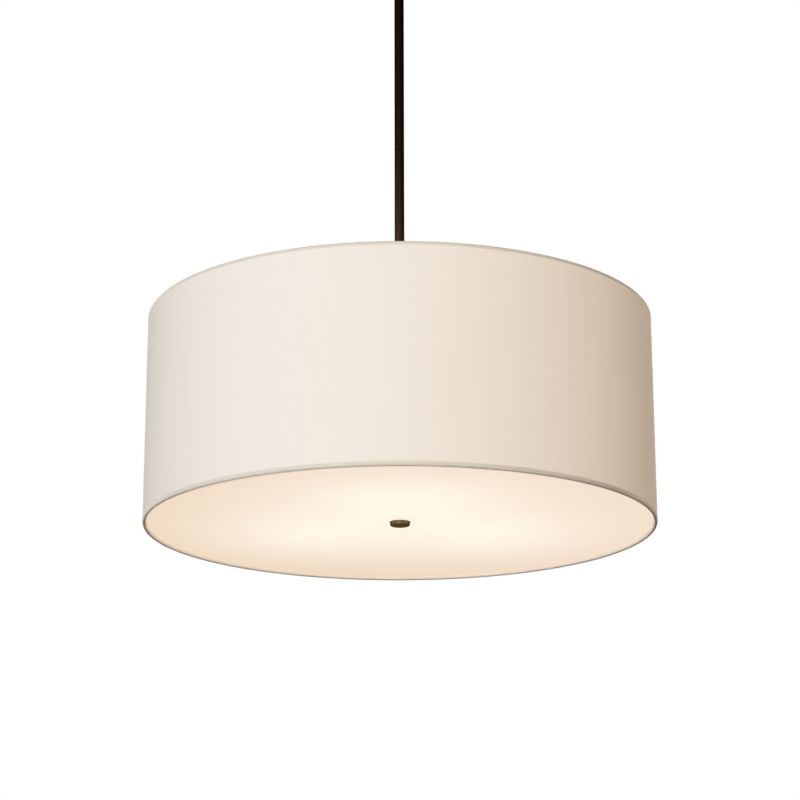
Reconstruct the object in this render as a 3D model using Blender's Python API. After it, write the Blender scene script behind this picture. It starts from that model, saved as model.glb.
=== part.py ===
"""Drum chandelier: a fabric drum on a rigid stem, closed below by a frosted disc.

Lengths are in metres and +Z is up. The origin is the centre of the crossbar's top face, at the ceiling.
A crossbar and canopy hang a half-ball swivel, the swivel hangs the stem, and the stem's lower end holds
the spider of the drum and a cluster of three lamps. A rod below the cluster carries the disc on a finial.
"""

import math

import bmesh
import bpy
from mathutils import Matrix, Vector

# Overall sizes
CEILING_TO_HEM = 0.762
SHADE_RADIUS = 0.3048
SHADE_HEIGHT = 0.254
STEM_RADIUS = 0.006

# Clearances
SEAT_GAP = 0.0003
SWING_CLEARANCE = 0.0006
OVERRUN = 0.002
WELD = 0.000001

# Crossbar and its fixings
CROSSBAR_LENGTH = 0.116
CROSSBAR_WIDTH = 0.022
CROSSBAR_THICKNESS = 0.002
CROSSBAR_CORNER = 0.004
STUD_TO_END = 0.006
SLOT_TO_STUD = 0.0075
BOX_SLOT_LENGTH = 0.0095
BOX_SLOT_RADIUS = 0.0025
GROUND_TO_SLOT = 0.012
STUD_RADIUS = 0.002
STUD_IN_KNOB = 0.006
STUD_NUT_FLATS = 0.007
STUD_NUT_HEIGHT = 0.003
GROUND_SHANK_RADIUS = 0.0019
GROUND_HEAD_RADIUS = 0.0036
GROUND_HEAD_HEIGHT = 0.0022

# Canopy and its knobs
CANOPY_END_ROOM = 0.007
CANOPY_HEIGHT = 0.027
CANOPY_WALL = 0.0012
CANOPY_SHOULDER = 0.006
KNOB_RADIUS = 0.0055
KNOB_NECK_RADIUS = 0.0042
KNOB_NECK_HEIGHT = 0.002
KNOB_BORE_SPARE = 0.001

# Swivel
SWIVEL_TILT_DEG = 25
BALL_RADIUS = 0.016
BALL_BELT = 0.002
SEAT_BASE = 0.0015
SEAT_FLANGE = 0.004
SEAT_CHAMFER = 0.0015
SPIGOT_WALL = 0.0012
SEAT_EDGE_SPARE_DEG = 1.2
BALL_NUT_FLATS = 0.017
BALL_NUT_HEIGHT = 0.004
STEM_PROUD = 0.001

# Stem, collar and leads
STEM_WALL = 0.0015
COLLAR_WALL = 0.0037
COLLAR_HEIGHT = 0.007
COLLAR_CHAMFER = 0.001
LEAD_RADIUS = 0.0013
LEAD_BELOW_STEM = 0.009
LEAD_TOP_INSET = 0.001
CONNECTOR_RADIUS = 0.0025
CONNECTOR_HEIGHT = 0.011
CONNECTOR_CAP = 0.0015

# Drum
FABRIC = 0.0005
HEM_WIRE_RADIUS = 0.0019
LINER = 0.001
TOP_HEM_WRAP_DEG = 180
BOTTOM_HEM_WRAP_DEG = 225
HEM_STEP_DEG = 45
DRUM_SIDES = 52
WIRE_SIDES = 6

# Spider
SPIDER_DROP = 0.022
SPIDER_HUB_RADIUS = 0.014
SPIDER_HUB_HEIGHT = 0.005
SPIDER_ARM_RADIUS = 0.0017
SPIDER_CLIMB_DEG = 50

# Cluster of lamps
LAMP_AZIMUTHS_DEG = (-90, 30, 150)
LAMP_SLOPE_DEG = 45
CLUSTER_SIDE = 0.031
CLUSTER_CORNER = 0.040
CLUSTER_CORNER_LOW = 0.015
CLUSTER_WALL = 0.002
CLUSTER_SKIRT = 0.012
CLUSTER_FACE_DROP = 0.020
LID_THICKNESS = 0.002
CLUSTER_NUT_FLATS = 0.019
CLUSTER_NUT_HEIGHT = 0.005
STEM_BELOW_NUT = 0.002
BOSS_RADIUS = 0.0034
BOSS_HEIGHT = 0.009
BOSS_SINK = 0.0012
LID_SCREW_RADIUS = 0.0015
LID_SCREW_LENGTH = 0.007
LID_HEAD_RADIUS = 0.003
LID_HEAD_HEIGHT = 0.0018

# Lampholders, measured along each lamp's own axis from the cluster's sloping face
NIPPLE_RADIUS = 0.005
NIPPLE_WALL = 0.0015
NIPPLE_INSIDE = 0.006
NIPPLE_NUT_FLATS = 0.014
NIPPLE_NUT_HEIGHT = 0.003
SOCKET_BASE = 0.010
SOCKET_LENGTH = 0.046
SOCKET_WALL = 0.003
SOCKET_NECK_INSET = 0.0025
SOCKET_SHOULDER = 0.006
SOCKET_LIP = 0.001
SCREW_SHELL_WALL = 0.0005
SCREW_SHELL_LENGTH = 0.022
SCREW_SHELL_START = 0.006
CONTACT_HALF_LENGTH = 0.006
CONTACT_WIDTH = 0.005
CONTACT_STRIP = 0.0005

# Lamps
CAP_RADIUS = 0.0131
CAP_TIP_RADIUS = 0.0045
CAP_TIP_HEIGHT = 0.0015
CAP_CONE_HEIGHT = 0.0035
CAP_LENGTH = 0.027
CAP_RECESS = 0.003
CAP_SKIRT_WALL = 0.0004
CAP_TIP_PLACE = 0.0055
BULB_RADIUS = 0.030
BULB_LENGTH = 0.110
BULB_WALL = 0.001
BULB_NECK_TURN_DEG = -28
BULB_SHOULDER_LENGTH = 0.008

# Centre rod and its coupler
ROD_RADIUS = 0.003
ROD_NUT_FLATS = 0.010
ROD_NUT_HEIGHT = 0.005
ROD_ABOVE_NUT = 0.002
COUPLER_FLATS = 0.011
COUPLER_HEIGHT = 0.024
ROD_IN_COUPLER = 0.011

# Diffuser, washers and finial
DIFFUSER_EDGE_GAP = 0.0006
DIFFUSER_THICKNESS = 0.003
DIFFUSER_LIFT = 0.009
DIFFUSER_DROOP = 0.0058
DIFFUSER_BORE_SPARE = 0.001
DROOP_SQUARE_SHARE = 0.8323
DROOP_LOG_SHARE = 1.3415
DROOP_QUARTIC_SHARE = 0.1677
DIFFUSER_RING_SHARES = (0.35, 0.7, 1.0)
UPPER_WASHER_RADIUS = 0.009
UPPER_WASHER_THICKNESS = 0.001
LOWER_WASHER_RADIUS = 0.0095
LOWER_WASHER_THICKNESS = 0.001
FINIAL_TOP_RADIUS = 0.01225
FINIAL_LOW_RADIUS = 0.0112
FINIAL_HEIGHT = 0.0044
FINIAL_CROWN = 0.0006
FINIAL_EDGE = 0.0006
FINIAL_STUD_IN_COUPLER = 0.010

# Facets
FINE_SIDES = 36
ROUND_SIDES = 20
LAMP_SIDES = 16
SMALL_SIDES = 12
SMOOTH_ANGLE_DEG = 35

# Places worked out from the sizes above
TILT = math.radians(SWIVEL_TILT_DEG)
STUD_REACH = CROSSBAR_LENGTH / 2 - STUD_TO_END
BOX_SLOT_OUTER = STUD_REACH - SLOT_TO_STUD
BOX_SLOT_INNER = BOX_SLOT_OUTER - BOX_SLOT_LENGTH
GROUND_SCREW_REACH = BOX_SLOT_INNER - GROUND_TO_SLOT
CANOPY_RADIUS = CROSSBAR_LENGTH / 2 + CANOPY_END_ROOM
SEAT_SPHERE = BALL_RADIUS + SEAT_GAP
STEM_BORE = STEM_RADIUS - STEM_WALL
STEM_FIT = STEM_RADIUS + SEAT_GAP
HEM_Z = -CEILING_TO_HEM
SHADE_TOP_Z = HEM_Z + SHADE_HEIGHT
HEM_BORE = HEM_WIRE_RADIUS + SEAT_GAP
HEM_RADIUS = HEM_BORE + FABRIC
HEM_CENTRE = SHADE_RADIUS - HEM_RADIUS
HUB_Z = SHADE_TOP_Z - SPIDER_DROP
LID_TOP_Z = HUB_Z - SPIDER_HUB_HEIGHT / 2 - SEAT_GAP
BODY_TOP_Z = LID_TOP_Z - LID_THICKNESS - SEAT_GAP
FACE_TOP_Z = BODY_TOP_Z - CLUSTER_SKIRT
FLOOR_Z = FACE_TOP_Z - CLUSTER_FACE_DROP
SLOPE = math.radians(LAMP_SLOPE_DEG)
CLUSTER_SIDE_LOW = CLUSTER_SIDE - CLUSTER_FACE_DROP * math.tan(SLOPE)
FACE_CENTRE = (CLUSTER_SIDE + CLUSTER_SIDE_LOW) / 2
STEM_END_Z = BODY_TOP_Z - CLUSTER_NUT_HEIGHT - STEM_BELOW_NUT
ROD_BORE = ROD_RADIUS + SEAT_GAP
DIFFUSER_Z = HEM_Z + DIFFUSER_LIFT
DIFFUSER_RADIUS = SHADE_RADIUS - 2 * HEM_RADIUS - DIFFUSER_EDGE_GAP
UPPER_WASHER_Z = DIFFUSER_Z + DIFFUSER_THICKNESS + SEAT_GAP
COUPLER_Z = UPPER_WASHER_Z + UPPER_WASHER_THICKNESS + SEAT_GAP
SCREW_SHELL_BORE = CAP_RADIUS + SEAT_GAP
SOCKET_BORE = SCREW_SHELL_BORE + SCREW_SHELL_WALL + SEAT_GAP
SOCKET_RADIUS = SOCKET_BORE + SOCKET_WALL
SOCKET_FLOOR = SEAT_GAP + SOCKET_BASE
SOCKET_MOUTH = SEAT_GAP + SOCKET_LENGTH
CAP_TIP = SOCKET_FLOOR + CAP_TIP_PLACE
CAP_RIM = CAP_TIP + CAP_LENGTH


def clear_scene():
    for existing in list(bpy.data.objects):
        bpy.data.objects.remove(existing, do_unlink=True)


def finish_material(name, colour, roughness, metallic=0.0, alpha=1.0):
    """A Principled material with the piece's colour, roughness and metallic value."""
    material = bpy.data.materials.new(name)
    material.use_nodes = True
    shader = material.node_tree.nodes["Principled BSDF"]
    shader.inputs["Base Color"].default_value = (*colour, 1.0)
    shader.inputs["Roughness"].default_value = roughness
    shader.inputs["Metallic"].default_value = metallic
    shader.inputs["Alpha"].default_value = alpha
    material.diffuse_color = (*colour, alpha)
    return material


def arc(centre, radius, start_deg, end_deg, steps):
    """Points of a round stretch of an outline, with both ends."""
    points = []
    for step in range(steps + 1):
        turn = math.radians(start_deg + (end_deg - start_deg) * step / steps)
        points.append((centre[0] + radius * math.cos(turn), centre[1] + radius * math.sin(turn)))
    return points


def spin_outline(mesh, outline, sides, place=None):
    """Adds a solid of revolution: a closed outline of (radius, height) points turned round Z."""
    corners = [mesh.verts.new((radius, 0, height)) for radius, height in outline]
    edges = []
    for start, end in zip(corners, corners[1:] + corners[:1]):
        if start.co.x > WELD or end.co.x > WELD:
            edges.append(mesh.edges.new((start, end)))
    bmesh.ops.spin(
        mesh,
        geom=corners + edges,
        cent=(0, 0, 0),
        axis=(0, 0, 1),
        angle=math.tau,
        steps=sides,
        use_merge=True,
    )
    turned = [vertex for vertex in mesh.verts if not vertex.tag]
    bmesh.ops.remove_doubles(mesh, verts=turned, dist=WELD)
    turned = [vertex for vertex in mesh.verts if not vertex.tag]
    if place is not None:
        bmesh.ops.transform(mesh, matrix=place, verts=turned)
    for vertex in turned:
        vertex.tag = True


def nut(name, flats, bore, ends, material, parent, at=(0, 0, 0)):
    """A hexagonal nut: six corners and six flat middles outside, a twelve-sided bore inside."""
    mesh = bmesh.new()
    rings = []
    for height in ends:
        outer = []
        inner = []
        for step in range(SMALL_SIDES):
            turn = math.tau * step / SMALL_SIDES
            reach = flats / 2 / math.cos(math.pi / 6) if step % 2 == 0 else flats / 2
            outer.append(mesh.verts.new((reach * math.cos(turn), reach * math.sin(turn), height)))
            inner.append(mesh.verts.new((bore * math.cos(turn), bore * math.sin(turn), height)))
        rings.append((outer, inner))
    (low_outer, low_inner), (high_outer, high_inner) = rings
    for step in range(SMALL_SIDES):
        after = (step + 1) % SMALL_SIDES
        for near, far in (
            (low_outer, high_outer),
            (high_outer, high_inner),
            (high_inner, low_inner),
            (low_inner, low_outer),
        ):
            mesh.faces.new((near[step], near[after], far[after], far[step]))
    return solid(name, mesh, material, parent, at)


def add_slab(mesh, outline, low, high):
    """Adds a flat plate with the given outline of (x, y) points."""
    under = [mesh.verts.new((x, y, low)) for x, y in outline]
    over = [mesh.verts.new((x, y, high)) for x, y in outline]
    mesh.faces.new(under[::-1])
    mesh.faces.new(over)
    for step in range(len(outline)):
        after = (step + 1) % len(outline)
        mesh.faces.new((under[step], under[after], over[after], over[step]))
    for vertex in under + over:
        vertex.tag = True


def add_tube(mesh, route, radius, sides):
    """Adds a round bar along a route that lies in the XZ plane, mitred at its bends and closed at its ends."""
    rings = []
    for index, point in enumerate(route):
        before = route[max(index - 1, 0)]
        after = route[min(index + 1, len(route) - 1)]
        arriving = (point - before).normalized() if index else (after - point).normalized()
        leaving = (after - point).normalized() if index < len(route) - 1 else arriving
        along = (arriving + leaving).normalized()
        across = Vector((0, 1, 0))
        upright = along.cross(across) / arriving.dot(along)
        ring = []
        for side in range(sides):
            turn = math.tau * (side + 0.5) / sides
            offset = across * radius * math.cos(turn) + upright * radius * math.sin(turn)
            ring.append(mesh.verts.new(point + offset))
        rings.append(ring)
    for near, far in zip(rings, rings[1:]):
        for side in range(sides):
            after = (side + 1) % sides
            mesh.faces.new((near[side], near[after], far[after], far[side]))
    mesh.faces.new(rings[0][::-1])
    mesh.faces.new(rings[-1])
    return [vertex for ring in rings for vertex in ring]


def solid(name, mesh, material, parent, at=(0, 0, 0), turn=(0, 0, 0)):
    """Turns a bmesh into a named object below its parent, with its normals outwards and its rounds smooth."""
    bmesh.ops.recalc_face_normals(mesh, faces=mesh.faces)
    data = bpy.data.meshes.new(name)
    mesh.to_mesh(data)
    mesh.free()
    data.shade_smooth()
    data.set_sharp_from_angle(angle=math.radians(SMOOTH_ANGLE_DEG))
    placed = bpy.data.objects.new(name, data)
    if material is not None:
        data.materials.append(material)
    bpy.context.scene.collection.objects.link(placed)
    placed.parent = parent
    placed.location = at
    placed.rotation_euler = turn
    return placed


def turned(name, outline, sides, material, parent, at=(0, 0, 0)):
    mesh = bmesh.new()
    spin_outline(mesh, outline, sides)
    return solid(name, mesh, material, parent, at)


def holder(name, parent=None, at=(0, 0, 0), turn=(0, 0, 0)):
    """An empty that carries the pieces of one assembly."""
    empty = bpy.data.objects.new(name, None)
    bpy.context.scene.collection.objects.link(empty)
    empty.parent = parent
    empty.location = at
    empty.rotation_euler = turn
    return empty


def cut_with(piece, cutter, operation="DIFFERENCE"):
    cutter.hide_render = True
    cutter.display_type = "WIRE"
    boolean = piece.modifiers.new(cutter.name, "BOOLEAN")
    boolean.operation = operation
    boolean.solver = "EXACT"
    boolean.object = cutter


def column(radius, low, high):
    """Outline of a plain round bar."""
    return [(0, low), (radius, low), (radius, high), (0, high)]


def sleeve(bore, radius, low, high):
    """Outline of a plain tube or washer."""
    return [(bore, low), (radius, low), (radius, high), (bore, high)]


def stem_reach(depth):
    """Radius that the leaning stem sweeps at a depth below the ball's centre, with its clearance."""
    return STEM_RADIUS / math.cos(TILT) + depth * math.tan(TILT) + SWING_CLEARANCE


def seat_angles():
    """Polar angles, from straight down, of the seat's lower and upper edges on the ball."""
    stem_side = math.asin((STEM_RADIUS + SWING_CLEARANCE * math.cos(TILT)) / SEAT_SPHERE)
    belt = math.pi / 2 + math.asin(BALL_BELT / BALL_RADIUS)
    return TILT + stem_side, belt - TILT - math.radians(SEAT_EDGE_SPARE_DEG)


def seat_places():
    """Depths of the seat's base and of the canopy's underside below the ball, and the canopy hole's radius."""
    lower, _ = seat_angles()
    base_depth = SEAT_SPHERE * math.cos(lower) + SEAT_BASE
    underside_depth = base_depth + SEAT_GAP + CANOPY_WALL
    hole = stem_reach(underside_depth) + SPIGOT_WALL + SEAT_GAP
    return base_depth, underside_depth, hole


def rounded_bar(length, width, corner):
    """Outline of a strip with rounded corners."""
    outline = []
    for sign_x, sign_y, start in ((1, 1, 0), (-1, 1, 90), (-1, -1, 180), (1, -1, 270)):
        centre = (sign_x * (length / 2 - corner), sign_y * (width / 2 - corner))
        outline += arc(centre, corner, start, start + 90, 3)
    return outline


def slot_outline(inner, outer, radius):
    """Outline of a slot along X with round ends."""
    return arc((outer, 0), radius, -90, 90, 6) + arc((inner, 0), radius, 90, 270, 6)


def make_crossbar(ceiling, steel, green, brass):
    low = -CROSSBAR_THICKNESS
    mesh = bmesh.new()
    add_slab(mesh, rounded_bar(CROSSBAR_LENGTH, CROSSBAR_WIDTH, CROSSBAR_CORNER), low, 0)
    bar = solid("crossbar", mesh, steel, ceiling)
    cuts = bmesh.new()
    for side in (-1, 1):
        slot = slot_outline(BOX_SLOT_INNER, BOX_SLOT_OUTER, BOX_SLOT_RADIUS)
        add_slab(cuts, [(side * x, side * y) for x, y in slot], low - OVERRUN, OVERRUN)
        hole = column(STUD_RADIUS + SEAT_GAP, low - OVERRUN, OVERRUN)
        spin_outline(cuts, hole, SMALL_SIDES, Matrix.Translation((side * STUD_REACH, 0, 0)))
    hole = column(GROUND_SHANK_RADIUS + SEAT_GAP, low - OVERRUN, OVERRUN)
    spin_outline(cuts, hole, SMALL_SIDES, Matrix.Translation((GROUND_SCREW_REACH, 0, 0)))
    cut_with(bar, solid("crossbar_cuts", cuts, None, ceiling))

    head_top = low - SEAT_GAP
    head_low = head_top - GROUND_HEAD_HEIGHT
    outline = [(0, head_low), (GROUND_HEAD_RADIUS, head_low), (GROUND_HEAD_RADIUS, head_top)]
    outline += [(GROUND_SHANK_RADIUS, head_top), (GROUND_SHANK_RADIUS, -SEAT_GAP), (0, -SEAT_GAP)]
    turned("ground_screw", outline, SMALL_SIDES, green, ceiling, (GROUND_SCREW_REACH, 0, 0))

    reach = column(STUD_RADIUS, -CANOPY_HEIGHT - STUD_IN_KNOB, -SEAT_GAP)
    for number, side in enumerate((-1, 1), start=1):
        place = (side * STUD_REACH, 0, 0)
        turned(f"canopy_stud_{number}", reach, SMALL_SIDES, steel, ceiling, place)
        ends = (head_top - STUD_NUT_HEIGHT, head_top)
        nut(f"stud_nut_{number}", STUD_NUT_FLATS, STUD_RADIUS + SEAT_GAP, ends, brass, ceiling, place)


def make_canopy(ceiling, bronze):
    _, _, hole = seat_places()
    inner_radius = CANOPY_RADIUS - CANOPY_WALL
    flat = CANOPY_RADIUS - CANOPY_SHOULDER
    centre = (flat, CANOPY_SHOULDER - CANOPY_HEIGHT)
    outline = [(CANOPY_RADIUS, 0)]
    outline += arc(centre, CANOPY_SHOULDER, 0, -90, 3)
    outline += [(hole, -CANOPY_HEIGHT), (hole, CANOPY_WALL - CANOPY_HEIGHT)]
    outline += arc(centre, CANOPY_SHOULDER - CANOPY_WALL, -90, 0, 3)
    outline += [(inner_radius, 0)]
    canopy = turned("canopy", outline, FINE_SIDES, bronze, ceiling)
    cuts = bmesh.new()
    top = -CANOPY_HEIGHT - SEAT_GAP
    neck_low = top - KNOB_NECK_HEIGHT
    neck_turn = math.degrees(math.acos(KNOB_NECK_RADIUS / KNOB_RADIUS))
    ball_centre = (0, neck_low - KNOB_RADIUS * math.sin(math.radians(neck_turn)))
    bore = STUD_RADIUS + SEAT_GAP
    bore_end = top - STUD_IN_KNOB - KNOB_BORE_SPARE
    knob = [(0, bore_end), (bore, bore_end), (bore, top), (KNOB_NECK_RADIUS, top)]
    knob += arc(ball_centre, KNOB_RADIUS, neck_turn, -90, 6)
    hole = column(bore, -CANOPY_HEIGHT - OVERRUN, CANOPY_WALL + OVERRUN - CANOPY_HEIGHT)
    for number, side in enumerate((-1, 1), start=1):
        place = (side * STUD_REACH, 0, 0)
        spin_outline(cuts, hole, SMALL_SIDES, Matrix.Translation(place))
        turned(f"canopy_knob_{number}", knob, SMALL_SIDES, bronze, ceiling, place)
    cut_with(canopy, solid("canopy_cuts", cuts, None, ceiling))


def make_swivel(yaw, tilt, nylon, bronze, brass):
    """The seat turns in the canopy's hole, and the half-ball rocks in the seat's round hollow."""
    lower, upper = seat_angles()
    base_depth, underside_depth, hole = seat_places()
    start = math.degrees(lower) - 90
    end = math.degrees(upper) - 90
    outline = arc((0, 0), SEAT_SPHERE, start, end, 4)
    top = outline[-1][1]
    rim = hole + SEAT_FLANGE
    outline += [(rim - SEAT_CHAMFER, top), (rim, top - SEAT_CHAMFER), (rim, -base_depth)]
    outline += [(hole - SEAT_GAP, -base_depth), (hole - SEAT_GAP, -underside_depth)]
    outline += [(stem_reach(underside_depth), -underside_depth)]
    turned("swivel_seat", outline, ROUND_SIDES, nylon, yaw)

    start = math.degrees(math.asin(STEM_FIT / BALL_RADIUS)) - 90
    end = math.degrees(math.asin(BALL_BELT / BALL_RADIUS))
    outline = arc((0, 0), BALL_RADIUS, start, end, 7) + [(STEM_FIT, BALL_BELT)]
    turned("swivel_ball", outline, ROUND_SIDES, bronze, tilt)

    low = BALL_BELT + SEAT_GAP
    nut("ball_nut", BALL_NUT_FLATS, STEM_FIT, (low, low + BALL_NUT_HEIGHT), brass, tilt)


def make_stem(tilt, ball_z, bronze, insulation, plastic):
    top = BALL_BELT + SEAT_GAP + BALL_NUT_HEIGHT + STEM_PROUD
    end = STEM_END_Z - ball_z
    turned("stem", sleeve(STEM_BORE, STEM_RADIUS, end, top), ROUND_SIDES, bronze, tilt)

    lead_end = end - LEAD_BELOW_STEM
    offset = STEM_BORE - SEAT_GAP - LEAD_RADIUS
    fit = LEAD_RADIUS + SEAT_GAP
    mouth = lead_end + CONNECTOR_HEIGHT - CONNECTOR_CAP - LEAD_RADIUS
    floor = lead_end - SEAT_GAP
    lead = column(LEAD_RADIUS, lead_end, top - LEAD_TOP_INSET)
    cap = [(0, floor - CONNECTOR_CAP), (CONNECTOR_RADIUS - LEAD_RADIUS / 2, floor - CONNECTOR_CAP)]
    cap += [(CONNECTOR_RADIUS, mouth), (fit, mouth), (fit, floor), (0, floor)]
    for number, side in enumerate((-1, 1), start=1):
        place = (side * offset, 0, 0)
        turned(f"supply_lead_{number}", lead, SMALL_SIDES, insulation, tilt, place)
        turned(f"wire_connector_{number}", cap, SMALL_SIDES, plastic, tilt, place)

    low = HUB_Z + SPIDER_HUB_HEIGHT / 2 + SEAT_GAP
    high = low + COLLAR_HEIGHT
    radius = STEM_FIT + COLLAR_WALL
    outline = [(STEM_FIT, low), (radius, low), (radius, high - COLLAR_CHAMFER)]
    outline += [(radius - COLLAR_CHAMFER, high), (STEM_FIT, high)]
    turned("stem_collar", outline, ROUND_SIDES, bronze, tilt, (0, 0, -ball_z))


def make_shade(shade, fabric, styrene, steel):
    """The cover's outline runs up the outside, rolls over each wire and comes back down the inside."""
    top_centre = (HEM_CENTRE, SHADE_HEIGHT - HEM_RADIUS)
    low_centre = (HEM_CENTRE, HEM_RADIUS)
    top_steps = TOP_HEM_WRAP_DEG // HEM_STEP_DEG
    low_steps = BOTTOM_HEM_WRAP_DEG // HEM_STEP_DEG
    outline = arc(top_centre, HEM_RADIUS, 0, TOP_HEM_WRAP_DEG, top_steps)
    outline += arc(top_centre, HEM_BORE, TOP_HEM_WRAP_DEG, 0, top_steps)
    outline += arc(low_centre, HEM_BORE, 0, -BOTTOM_HEM_WRAP_DEG, low_steps)
    outline += arc(low_centre, HEM_RADIUS, -BOTTOM_HEM_WRAP_DEG, 0, low_steps)
    turned("shade_cover", outline, DRUM_SIDES, fabric, shade)

    outer = SHADE_RADIUS - FABRIC - SEAT_GAP
    low = low_centre[1] + HEM_BORE
    high = top_centre[1] - HEM_BORE
    turned("shade_liner", sleeve(outer - LINER, outer, low, high), DRUM_SIDES, styrene, shade)

    for name, centre in (("shade_top_wire", top_centre), ("shade_bottom_wire", low_centre)):
        wire = arc(centre, HEM_WIRE_RADIUS, 0, 360, WIRE_SIDES)[:-1]
        turned(name, wire, DRUM_SIDES, steel, shade)


def make_spider(shade, steel):
    """A hub on the stem and three arms that run level, then climb to the top wire."""
    hub_z = SHADE_HEIGHT - SPIDER_DROP
    half = SPIDER_HUB_HEIGHT / 2
    hub = turned(
        "shade_spider",
        sleeve(STEM_FIT, SPIDER_HUB_RADIUS, hub_z - half, hub_z + half),
        ROUND_SIDES,
        steel,
        shade,
    )
    climb = math.radians(SPIDER_CLIMB_DEG)
    wire_z = SHADE_HEIGHT - HEM_RADIUS
    bend = HEM_CENTRE - (wire_z - hub_z) / math.tan(climb)
    stop = HEM_WIRE_RADIUS + SEAT_GAP
    tip = Vector((HEM_CENTRE - stop * math.cos(climb), 0, wire_z - stop * math.sin(climb)))
    start = Vector(((STEM_FIT + SPIDER_HUB_RADIUS) / 2, 0, hub_z))
    arms = bmesh.new()
    for azimuth in LAMP_AZIMUTHS_DEG:
        added = add_tube(arms, [start, Vector((bend, 0, hub_z)), tip], SPIDER_ARM_RADIUS, LAMP_SIDES // 2)
        turn = Matrix.Rotation(math.radians(azimuth), 4, "Z")
        bmesh.ops.transform(arms, matrix=turn, verts=added)
    cut_with(hub, solid("spider_arms", arms, None, shade), "UNION")


def cluster_ring(side, corner):
    """Six points of the cluster's outline: three long sides face the lamps, three short ones lie between."""
    points = []
    for step in range(6):
        here = math.radians(LAMP_AZIMUTHS_DEG[0] + 60 * step)
        after = here + math.radians(60)
        near, far = (side, corner) if step % 2 == 0 else (corner, side)
        along_after = (far - near / 2) / 0.75
        along_here = near - along_after / 2
        points.append(
            (
                along_here * math.cos(here) + along_after * math.cos(after),
                along_here * math.sin(here) + along_after * math.sin(after),
            )
        )
    return points


def between_lamps(distance):
    """Places at a distance from the stem, at the cluster's three short sides."""
    places = []
    for azimuth in LAMP_AZIMUTHS_DEG:
        turn = math.radians(azimuth + 60)
        places.append(Matrix.Translation((distance * math.cos(turn), distance * math.sin(turn), 0)))
    return places


def lamp_place(azimuth):
    """The centre of a sloping face, with Z along the lamp's axis, away from the cluster."""
    middle_z = (FACE_TOP_Z + FLOOR_Z) / 2 - LID_TOP_Z
    turn = Matrix.Rotation(math.radians(azimuth), 4, "Z")
    lean = Matrix.Rotation(math.pi - SLOPE, 4, "Y")
    return turn @ Matrix.Translation((FACE_CENTRE, 0, middle_z)) @ lean


def make_cluster(cluster, cast, steel, brass):
    """Heights here are below the lid's top face, where the cluster's own origin is."""
    body_top = BODY_TOP_Z - LID_TOP_Z
    face_top = FACE_TOP_Z - LID_TOP_Z
    floor = FLOOR_Z - LID_TOP_Z
    screw_reach = CLUSTER_CORNER - CLUSTER_WALL - BOSS_RADIUS + BOSS_SINK

    mesh = bmesh.new()
    rings = []
    for side, corner, height in (
        (CLUSTER_SIDE, CLUSTER_CORNER, body_top),
        (CLUSTER_SIDE, CLUSTER_CORNER, face_top),
        (CLUSTER_SIDE_LOW, CLUSTER_CORNER_LOW, floor),
    ):
        rings.append([mesh.verts.new((x, y, height)) for x, y in cluster_ring(side, corner)])
    for upper, under in zip(rings, rings[1:]):
        for step in range(6):
            after = (step + 1) % 6
            mesh.faces.new((upper[after], upper[step], under[step], under[after]))
    mesh.faces.new(rings[-1][::-1])
    body = solid("cluster_body", mesh, cast, cluster)
    shell = body.modifiers.new("wall", "SOLIDIFY")
    shell.thickness = CLUSTER_WALL
    shell.offset = -1
    shell.use_even_offset = True
    shell.use_quality_normals = True

    bosses = bmesh.new()
    cuts = bmesh.new()
    for place in between_lamps(screw_reach):
        spin_outline(bosses, column(BOSS_RADIUS, body_top - BOSS_HEIGHT, body_top), SMALL_SIDES, place)
        hole = column(LID_SCREW_RADIUS + SEAT_GAP, body_top - LID_SCREW_LENGTH, body_top + OVERRUN)
        spin_outline(cuts, hole, SMALL_SIDES, place)
    spin_outline(cuts, column(ROD_BORE, floor - OVERRUN, floor + CLUSTER_WALL + OVERRUN), SMALL_SIDES)
    for azimuth in LAMP_AZIMUTHS_DEG:
        hole = column(NIPPLE_RADIUS + SEAT_GAP, -CLUSTER_WALL - OVERRUN, OVERRUN)
        spin_outline(cuts, hole, SMALL_SIDES, lamp_place(azimuth))
    cut_with(body, solid("cluster_bosses", bosses, None, cluster), "UNION")
    cut_with(body, solid("cluster_cuts", cuts, None, cluster))

    mesh = bmesh.new()
    add_slab(mesh, cluster_ring(CLUSTER_SIDE, CLUSTER_CORNER), -LID_THICKNESS, 0)
    lid = solid("cluster_lid", mesh, cast, cluster)
    cuts = bmesh.new()
    spin_outline(cuts, column(STEM_FIT, -LID_THICKNESS - OVERRUN, OVERRUN), ROUND_SIDES)
    hole = column(LID_SCREW_RADIUS + SEAT_GAP, -LID_THICKNESS - OVERRUN, OVERRUN)
    end = body_top - LID_SCREW_LENGTH + SEAT_GAP
    head = SEAT_GAP + LID_HEAD_HEIGHT
    screw = [(0, end), (LID_SCREW_RADIUS, end), (LID_SCREW_RADIUS, SEAT_GAP)]
    screw += [(LID_HEAD_RADIUS, SEAT_GAP), (LID_HEAD_RADIUS, head), (0, head)]
    for number, place in enumerate(between_lamps(screw_reach), start=1):
        spin_outline(cuts, hole, SMALL_SIDES, place)
        turned(f"lid_screw_{number}", screw, SMALL_SIDES, steel, cluster, place.to_translation())
    cut_with(lid, solid("lid_cuts", cuts, None, cluster))

    ends = (body_top - CLUSTER_NUT_HEIGHT, body_top)
    nut("cluster_nut", CLUSTER_NUT_FLATS, STEM_FIT, ends, brass, cluster)


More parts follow.
